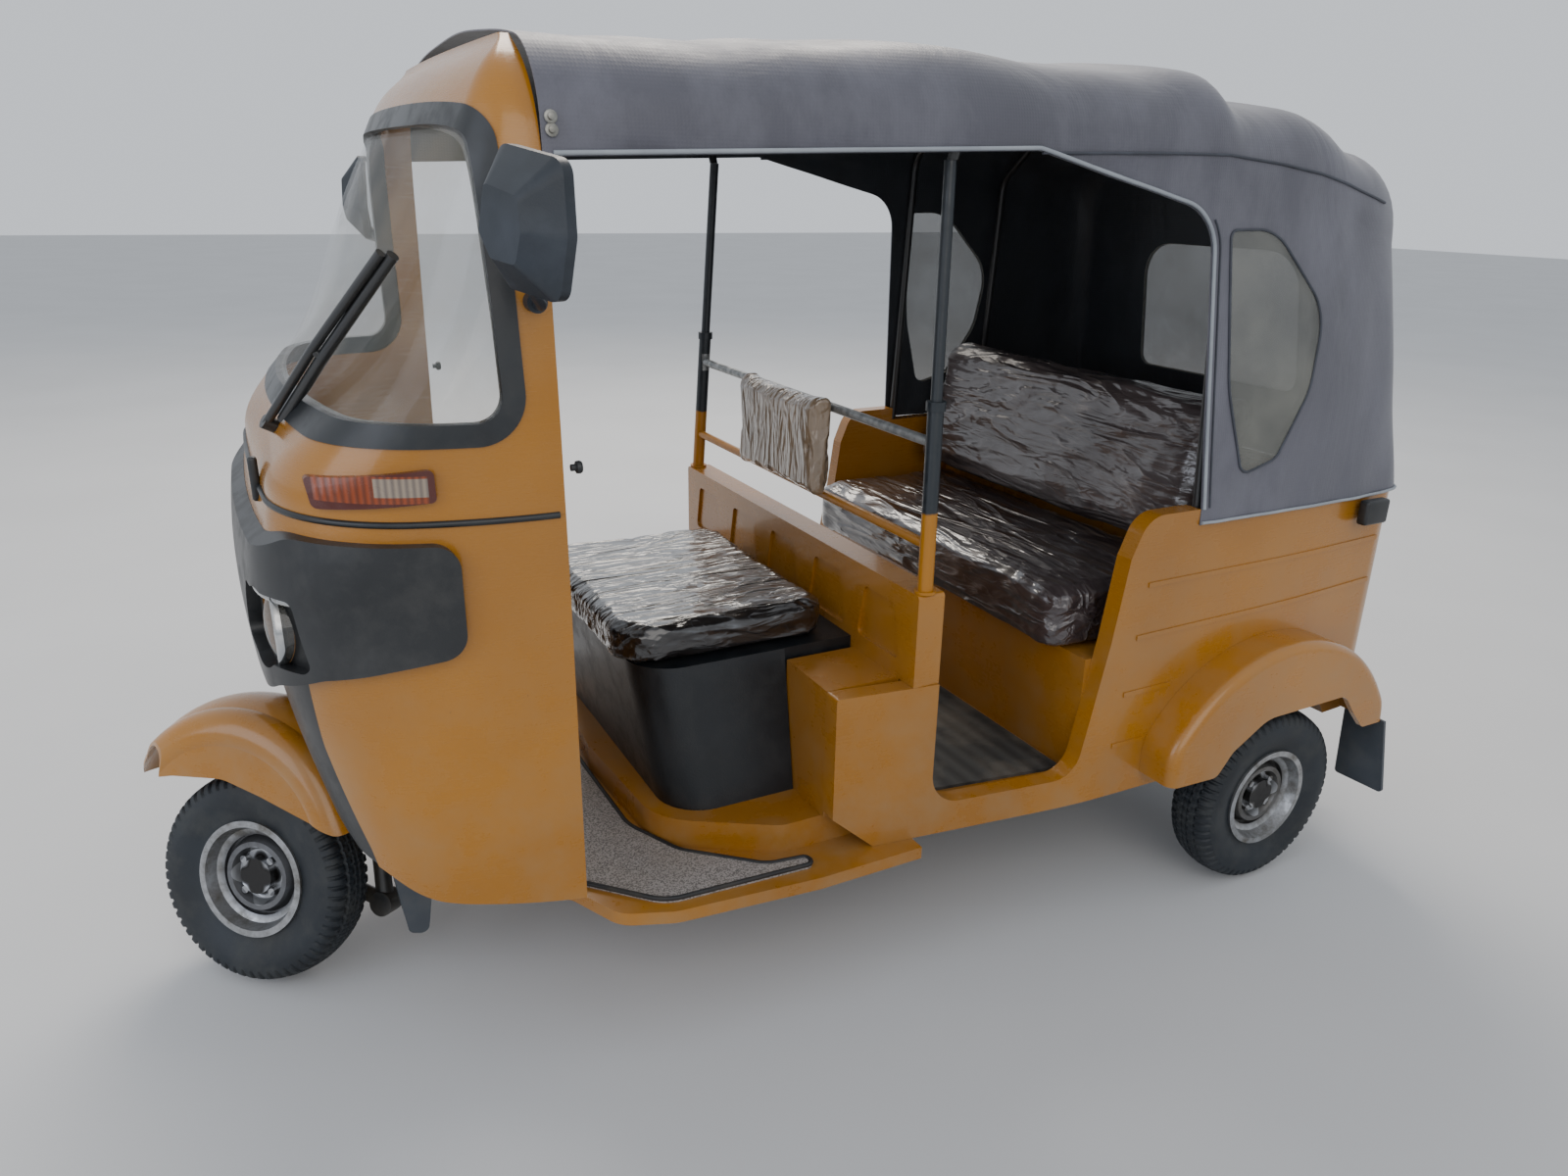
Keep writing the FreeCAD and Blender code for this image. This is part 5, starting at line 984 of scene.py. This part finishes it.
def tread(i, j, along, radius):
    """Blocks round the shoulders and notches round the crown."""
    if radius > SHOULDER_RADIUS and abs(along) > SHOULDER_Y and j % 6 < 2:
        return along * 0.97, radius - SHOULDER_DEPTH
    if radius > CROWN_RADIUS and (j + (i % 2) * 3) % 6 < 1:
        return along, radius - CROWN_DEPTH
    return along, radius


def build_tyres(settings):
    """One tyre with shoulder blocks and grooves, copied to the three wheels."""
    master = lathe("Tyre_Master", TYRE_PROFILE, settings.tread_blocks * 6, Vector((0, 0, 0)),
                   (0, 1, 0), tread)
    smooth(master, 28)
    for key, (body, centre, axis) in WHEELS.items():
        turn = Vector((0, 1, 0)).rotation_difference(Vector(axis)).to_matrix().to_4x4()
        tyre = copied(master, "Tyre_" + key, Matrix.Translation(point(*centre)) @ turn)
        node = "front_tyre" if key == "front" else key.replace("rear", "rear_tyre")
        finish_piece(tyre, MATERIALS["tyre"], body, [node])
    bpy.data.objects.remove(master)


# Seats

def soft_copy(name, node, shrink, voxel, limit):
    """A cushion from its CAD node: remeshed, blown up by a cloth run, and held near its start."""
    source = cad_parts[node]
    obj = bpy.data.objects.new(name, source.data.copy())
    bpy.context.scene.collection.objects.link(obj)
    low, high = (Vector(corner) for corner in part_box(node))
    middle = (low + high) / 2
    for vertex in obj.data.vertices:
        away = vertex.co - middle
        for k in range(3):
            half = (high[k] - low[k]) / 2
            away[k] *= (half - shrink[k] / 1000) / half
        vertex.co = middle + away
    tidy_mesh(obj)
    remesh = obj.modifiers.new("Remesh", "REMESH")
    remesh.mode = "VOXEL"
    remesh.voxel_size = voxel / 1000
    apply_all(obj)
    start = [v.co.copy() for v in obj.data.vertices]
    sim = obj.modifiers.new("Cloth", "CLOTH")
    sim.settings.use_pressure = True
    sim.settings.uniform_pressure_force = CLOTH_PRESSURE
    sim.settings.effector_weights.gravity = 0.0
    sim.settings.quality = 4
    sim.settings.mass = CLOTH_MASS
    sim.point_cache.frame_start = 1
    sim.point_cache.frame_end = CLOTH_FRAMES
    for number in range(1, CLOTH_FRAMES + 1):
        bpy.context.scene.frame_set(number)
    apply_all(obj)
    bpy.context.scene.frame_set(1)
    for vertex, was in zip(obj.data.vertices, start):
        move = vertex.co - was
        if move.length > limit / 1000:
            move *= limit / 1000 / move.length
        vertex.co = was + move
    return obj, low, high


def crinkle(obj, low, high, run, depth):
    """Folds of the delivery film: ridges 40 to 80 mm apart, drawn out along run."""
    normals = [v.normal.copy() for v in obj.data.vertices]
    for vertex, normal in zip(obj.data.vertices, normals):
        p = Vector([c * k for c, k in zip(vertex.co, run)]) * FOLDS
        warp = noise.noise_vector(p * 0.5 + Vector((SEED, 0, 0)))
        broad = 1 - abs(noise.noise(p + warp * 1.3)) * 3
        fine = 1 - abs(noise.noise(p * 2.3 + warp * 2.0)) * 3
        lift = max(broad, -FOLD_DIP) + FINE_FOLD * max(fine, -FOLD_DIP)
        vertex.co += normal * lift * depth / 1000
        for k in range(3):
            vertex.co[k] = min(max(vertex.co[k], low[k]), high[k])


def build_seats(settings):
    """The four cushions under their plastic covers."""
    for name, node, shrink, voxel, limit, key, run, depth, fill in SEATS:
        obj, low, high = soft_copy(name, node, shrink, voxel, limit)
        crinkle(obj, low, high, run, depth * settings.crinkle)
        sub = obj.modifiers.new("Smooth", "SUBSURF")
        sub.levels = 1
        sub.render_levels = 1
        choose(obj)
        bpy.ops.object.shade_smooth()
        finish_piece(obj, MATERIALS[key], "body", [node])


# Nose, lamps and trim

def nose_row(z):
    """The nose's front x, half width, corner and front radius at a height."""
    rows = NOSE_ROWS
    i = 0 if z < rows[1][0] else 1
    t = (z - rows[i][0]) / (rows[i + 1][0] - rows[i][0])
    return [a + (b - a) * t for a, b in zip(rows[i][1:], rows[i + 1][1:])]


def nose_x(y, z):
    """The nose's outer face at a width and height."""
    front, half_width, corner, front_radius = nose_row(z)
    length = front - NOSE_REAR_X
    side_c = Vector((0, half_width - NOSE_SIDE_RADIUS))
    front_c = Vector((length - front_radius, 0))
    centre = corner_centre(side_c, NOSE_SIDE_RADIUS, front_c, front_radius, corner)
    y = abs(y)
    front_turn = front_c + (centre - front_c).normalized() * front_radius
    side_turn = side_c + (centre - side_c).normalized() * NOSE_SIDE_RADIUS
    if y < front_turn.y:
        x = front_c.x + math.sqrt(front_radius ** 2 - y ** 2)
    elif y < side_turn.y:
        x = centre.x + math.sqrt(corner ** 2 - (y - centre.y) ** 2)
    else:
        x = math.sqrt(max(NOSE_SIDE_RADIUS ** 2 - (y - side_c.y) ** 2, 0))
    return NOSE_REAR_X + x


def build_nose(settings):
    """The bead round the nose, a near-black sheet of painted shade in each lamp recess, and the
    chrome in the recesses.
    """
    z, half = NOSE_ROWS[-1][0], NOSE_ROWS[-1][2]
    steps = 60
    ys = [half * math.sin(math.pi / 2 * k / steps) for k in range(-steps, steps + 1)]
    line = [point(nose_x(y * 0.9999, z) + 1.0, y, z) for y in ys]
    bead = pipe("Nose_Bead", line, settings.bead * 500)
    finish_piece(bead, MATERIALS["rubber"])
    centre = Vector(LAMP_FRONT[1:])
    outline = stretches(polygon(LAMP_WINDOW), 10, True)

    # a near-black sheet just proud of the bezel, between the lamp's ring and the window's edge:
    # painted shade where the recess is
    def recess_shade(u, v):
        p = outline[round(u * len(outline)) % len(outline)]
        inner = centre + (p - centre).normalized() * (LAMP_RADIUS + 1.5)
        q = inner + (p - inner) * v
        return point(nose_x(q.x, q.y) + 1.6, q.x, q.y)

    shade_sheet = grid_surface("Lamp_Recess_Painted_Shade", len(outline), 6, recess_shade)
    thick = shade_sheet.modifiers.new("Thick", "SOLIDIFY")
    thick.thickness = 0.001
    apply_all(shade_sheet)
    tidy_mesh(shade_sheet)
    finish_piece(both_sides(shade_sheet), MATERIALS["recess_shade"])
    lamp = point(*LAMP_FRONT)
    dish = lathe("Lamp_Dish", LAMP_DISH, 40, lamp, (1, 0, 0))
    bulb = lathe("Lamp_Bulb", LAMP_BULB, 20, lamp, (1, 0, 0), closed=False)
    ring = lathe("Lamp_Ring", LAMP_RING, 48, lamp, (1, 0, 0))
    y, z = STRIP_START
    bar = [point(nose_x(b, z + 3) + 9, b, z + (b - y + 2) * 0.06) for b in range(y, STRIP_END_Y, 8)]
    strip = pipe("Lamp_Strip", bar, STRIP_RADIUS)
    y, z = CHEEK_START
    edge = [(y + k * 1.8, z - k * 8) for k in range(10)]
    cheek = pipe("Cheek", [point(nose_x(*p) + 7, *p) for p in edge], CHEEK_RADIUS)
    chrome = join("Lamp_Chrome", [dish, bulb, ring, strip, cheek])
    smooth(chrome, 40)
    finish_piece(both_sides(chrome), MATERIALS["chrome"])
    blade = rounded_box("Nose_Blade", *BLADE_BOX, 5)
    finish_piece(blade, MATERIALS["black_plastic"])


def build_trim():
    """Mirror glasses, hood catches, the flap behind the front wheel, mat edge and bolts."""
    turn = Matrix.Rotation(math.radians(MIRROR_TURN), 3, "Z")
    face = [Vector((p.x * MIRROR_GLASS_SHARE,
                    MIRROR_MIDDLE_Z + (p.y - MIRROR_MIDDLE_Z) * MIRROR_GLASS_SHARE))
            for p in polygon(MIRROR_FACE)]

    def face_place(y, z):
        p = turn @ Vector((-0.2, y, 0))
        return point(p.x + MIRROR_CENTRE[0], p.y + MIRROR_CENTRE[1], z)

    glass = prism("Mirror_Glass", face, face_place, turn @ Vector((-0.0015, 0, 0)))
    finish_piece(both_sides(glass), MATERIALS["mirror_glass"])
    catch = rounded_box("Hood_Catch", *CATCH_BOX, 6)
    finish_piece(both_sides(catch), MATERIALS["black_plastic"])
    sheet = prism("Wheel_Flap", polygon(FLAP_OUTLINE), lambda a, b: point(a, FLAP_Y, b),
                  Vector((0, FLAP_WIDTH / 1000, 0)))
    finish_piece(sheet, MATERIALS["flap"])
    edge = stretches(polygon(FRONT_MAT), 12, True)
    line = [point(p.x, p.y * 0.994, FRONT_MAT_TOP - 1) for p in edge]
    rim = pipe("Mat_Edge", line, MAT_EDGE_RADIUS, True)
    finish_piece(rim, MATERIALS["mat_edge"])
    bolts = []
    for z in BOLT_ROWS_Z:
        seat = point(BOLT_X, hood_y(BOLT_X, z) - 0.5, z)
        bolts.append(lathe("Bolt", BOLT_HEAD, 12, seat, (0, 1, 0.15), closed=False))
    knob = lathe("Cowl_Knob", KNOB_PROFILE, 20, point(*KNOB_PLACE), (-1, 0, 0), closed=False)
    smooth(knob, 30)
    finish_piece(both_sides(knob), MATERIALS["black_plastic"])
    bolts = join("Hood_Bolts", bolts)
    smooth(bolts, 30)
    finish_piece(both_sides(bolts), MATERIALS["bolt"])


# Stage

def build_stage(settings):
    """The camera at the photograph's place, soft lights and a plain pale floor."""
    data = bpy.data.cameras.new("Camera")
    camera = bpy.data.objects.new("Camera", data)
    bpy.context.scene.collection.objects.link(camera)
    data.sensor_width = 36.0
    data.lens = CAMERA_LENS
    data.dof.use_dof = False
    camera.location = CAMERA_PLACE
    camera.rotation_euler = [math.radians(a) for a in CAMERA_TURN]
    bpy.context.scene.camera = camera
    world = bpy.data.worlds.new("World")
    world.use_nodes = True
    sky = world.node_tree.nodes["Background"]
    sky.inputs[0].default_value = linear("#e4e9f0")
    sky.inputs[1].default_value = settings.sky_strength
    bpy.context.scene.world = world
    for name, place, target, size, power, colour in LIGHTS:
        light = bpy.data.lights.new(name, "AREA")
        light.size = size
        light.energy = power * settings.light_strength
        light.color = linear(colour)[:3]
        lamp = bpy.data.objects.new(name, light)
        bpy.context.scene.collection.objects.link(lamp)
        lamp.location = place
        way = Vector(target) - Vector(place)
        lamp.rotation_euler = way.to_track_quat("-Z", "Y").to_euler()
    deselect()
    bpy.ops.mesh.primitive_grid_add(x_subdivisions=8, y_subdivisions=8, size=60)
    floor = bpy.context.object
    floor.name = "Stage_Floor"
    floor.location.z = -0.0005
    settle(floor)
    material, tree, shader, where = new_material("Floor_Concrete_Smooth")
    tone = add(tree, "TexNoise", {"Vector": where, "Scale": 1.2, "Detail": 3.0})
    base = add(tree, "Mix", {0: tone, 6: "#bcbdbe", 7: "#c8c9ca"}, data_type="RGBA")
    feed(tree, shader, {"Base Color": base, "Roughness": 0.9})
    floor.data.materials.append(material)


# Add-on layout

class RickshawSettings(bpy.types.PropertyGroup):
    paint_colour: bpy.props.FloatVectorProperty(
        name="Paint", description="Body paint colour", subtype="COLOR_GAMMA", size=3,
        default=(0.64, 0.42, 0.07), min=0, max=1)
    hood_colour: bpy.props.FloatVectorProperty(
        name="Hood", description="Hood cloth colour", subtype="COLOR_GAMMA", size=3,
        default=(0.325, 0.325, 0.365), min=0, max=1)
    piping: bpy.props.FloatProperty(
        name="Piping", description="Diameter of the hood's piping", default=0.007,
        min=0.001, max=0.02, unit="LENGTH", subtype="DISTANCE")
    bead: bpy.props.FloatProperty(
        name="Bead", description="Diameter of the bead round the nose", default=0.010,
        min=0.002, max=0.02, unit="LENGTH", subtype="DISTANCE")
    crinkle: bpy.props.FloatProperty(
        name="Crinkle", description="Depth of the seat film's folds", default=1.0, min=0, max=3,
        subtype="FACTOR")
    tread_blocks: bpy.props.IntProperty(
        name="Tread blocks", description="Shoulder blocks round each tyre", default=60,
        min=20, max=90)
    sky_strength: bpy.props.FloatProperty(
        name="Sky", description="Strength of the sky light", default=1.0, min=0, max=5)
    light_strength: bpy.props.FloatProperty(
        name="Lamps", description="Strength of the studio lights", default=1.0, min=0, max=5)


class RICKSHAW_OT_stage(bpy.types.Operator):
    """Set up the camera, the lights and the floor"""
    bl_idname = "rickshaw.stage"
    bl_label = "Stage"

    def execute(self, context):
        build_stage(context.scene.rickshaw)
        return {"FINISHED"}


class RICKSHAW_OT_materials(bpy.types.Operator):
    """Make every material and dress the carried-over pieces"""
    bl_idname = "rickshaw.materials"
    bl_label = "Materials"

    def execute(self, context):
        make_materials(context.scene.rickshaw)
        dress_nodes()
        return {"FINISHED"}


class RICKSHAW_OT_hood(bpy.types.Operator):
    """Build the hood, its piping and its welts"""
    bl_idname = "rickshaw.hood"
    bl_label = "Hood"

    def execute(self, context):
        build_piping(build_hood(), context.scene.rickshaw)
        return {"FINISHED"}


class RICKSHAW_OT_tyres(bpy.types.Operator):
    """Build the tyres with their tread"""
    bl_idname = "rickshaw.tyres"
    bl_label = "Tyres"

    def execute(self, context):
        build_tyres(context.scene.rickshaw)
        return {"FINISHED"}


class RICKSHAW_OT_seats(bpy.types.Operator):
    """Build the cushions and backrests"""
    bl_idname = "rickshaw.seats"
    bl_label = "Seats"

    def execute(self, context):
        build_seats(context.scene.rickshaw)
        return {"FINISHED"}


class RICKSHAW_OT_nose(bpy.types.Operator):
    """Build the nose bead, the painted shade in the lamp recesses and their chrome"""
    bl_idname = "rickshaw.nose"
    bl_label = "Nose"

    def execute(self, context):
        build_nose(context.scene.rickshaw)
        return {"FINISHED"}


class RICKSHAW_OT_trim(bpy.types.Operator):
    """Build the mirror glasses, catches, flap, mat edge and bolts"""
    bl_idname = "rickshaw.trim"
    bl_label = "Trim"

    def execute(self, context):
        build_trim()
        return {"FINISHED"}


class RICKSHAW_PT_panel(bpy.types.Panel):
    """The rickshaw's settings and builders"""
    bl_idname = "RICKSHAW_PT_panel"
    bl_label = "Auto Rickshaw"
    bl_space_type = "VIEW_3D"
    bl_region_type = "UI"
    bl_category = "Rickshaw"

    def draw(self, context):
        for key in RickshawSettings.__annotations__:
            self.layout.prop(context.scene.rickshaw, key)
        for operator in OPERATORS:
            self.layout.operator(operator.bl_idname)


OPERATORS = [
    RICKSHAW_OT_stage, RICKSHAW_OT_materials, RICKSHAW_OT_hood, RICKSHAW_OT_tyres,
    RICKSHAW_OT_seats, RICKSHAW_OT_nose, RICKSHAW_OT_trim,
]
CLASSES = [RickshawSettings, *OPERATORS, RICKSHAW_PT_panel]


def register():
    for item in CLASSES:
        bpy.utils.register_class(item)
    bpy.types.Scene.rickshaw = bpy.props.PointerProperty(type=RickshawSettings)


def unregister():
    del bpy.types.Scene.rickshaw
    for item in reversed(CLASSES):
        bpy.utils.unregister_class(item)


def main():
    noise.seed_set(SEED)
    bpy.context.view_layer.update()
    register()
    bpy.ops.rickshaw.stage()
    bpy.ops.rickshaw.materials()
    bpy.ops.rickshaw.hood()
    bpy.ops.rickshaw.tyres()
    bpy.ops.rickshaw.seats()
    bpy.ops.rickshaw.nose()
    bpy.ops.rickshaw.trim()


if __name__ == "__main__":
    main()
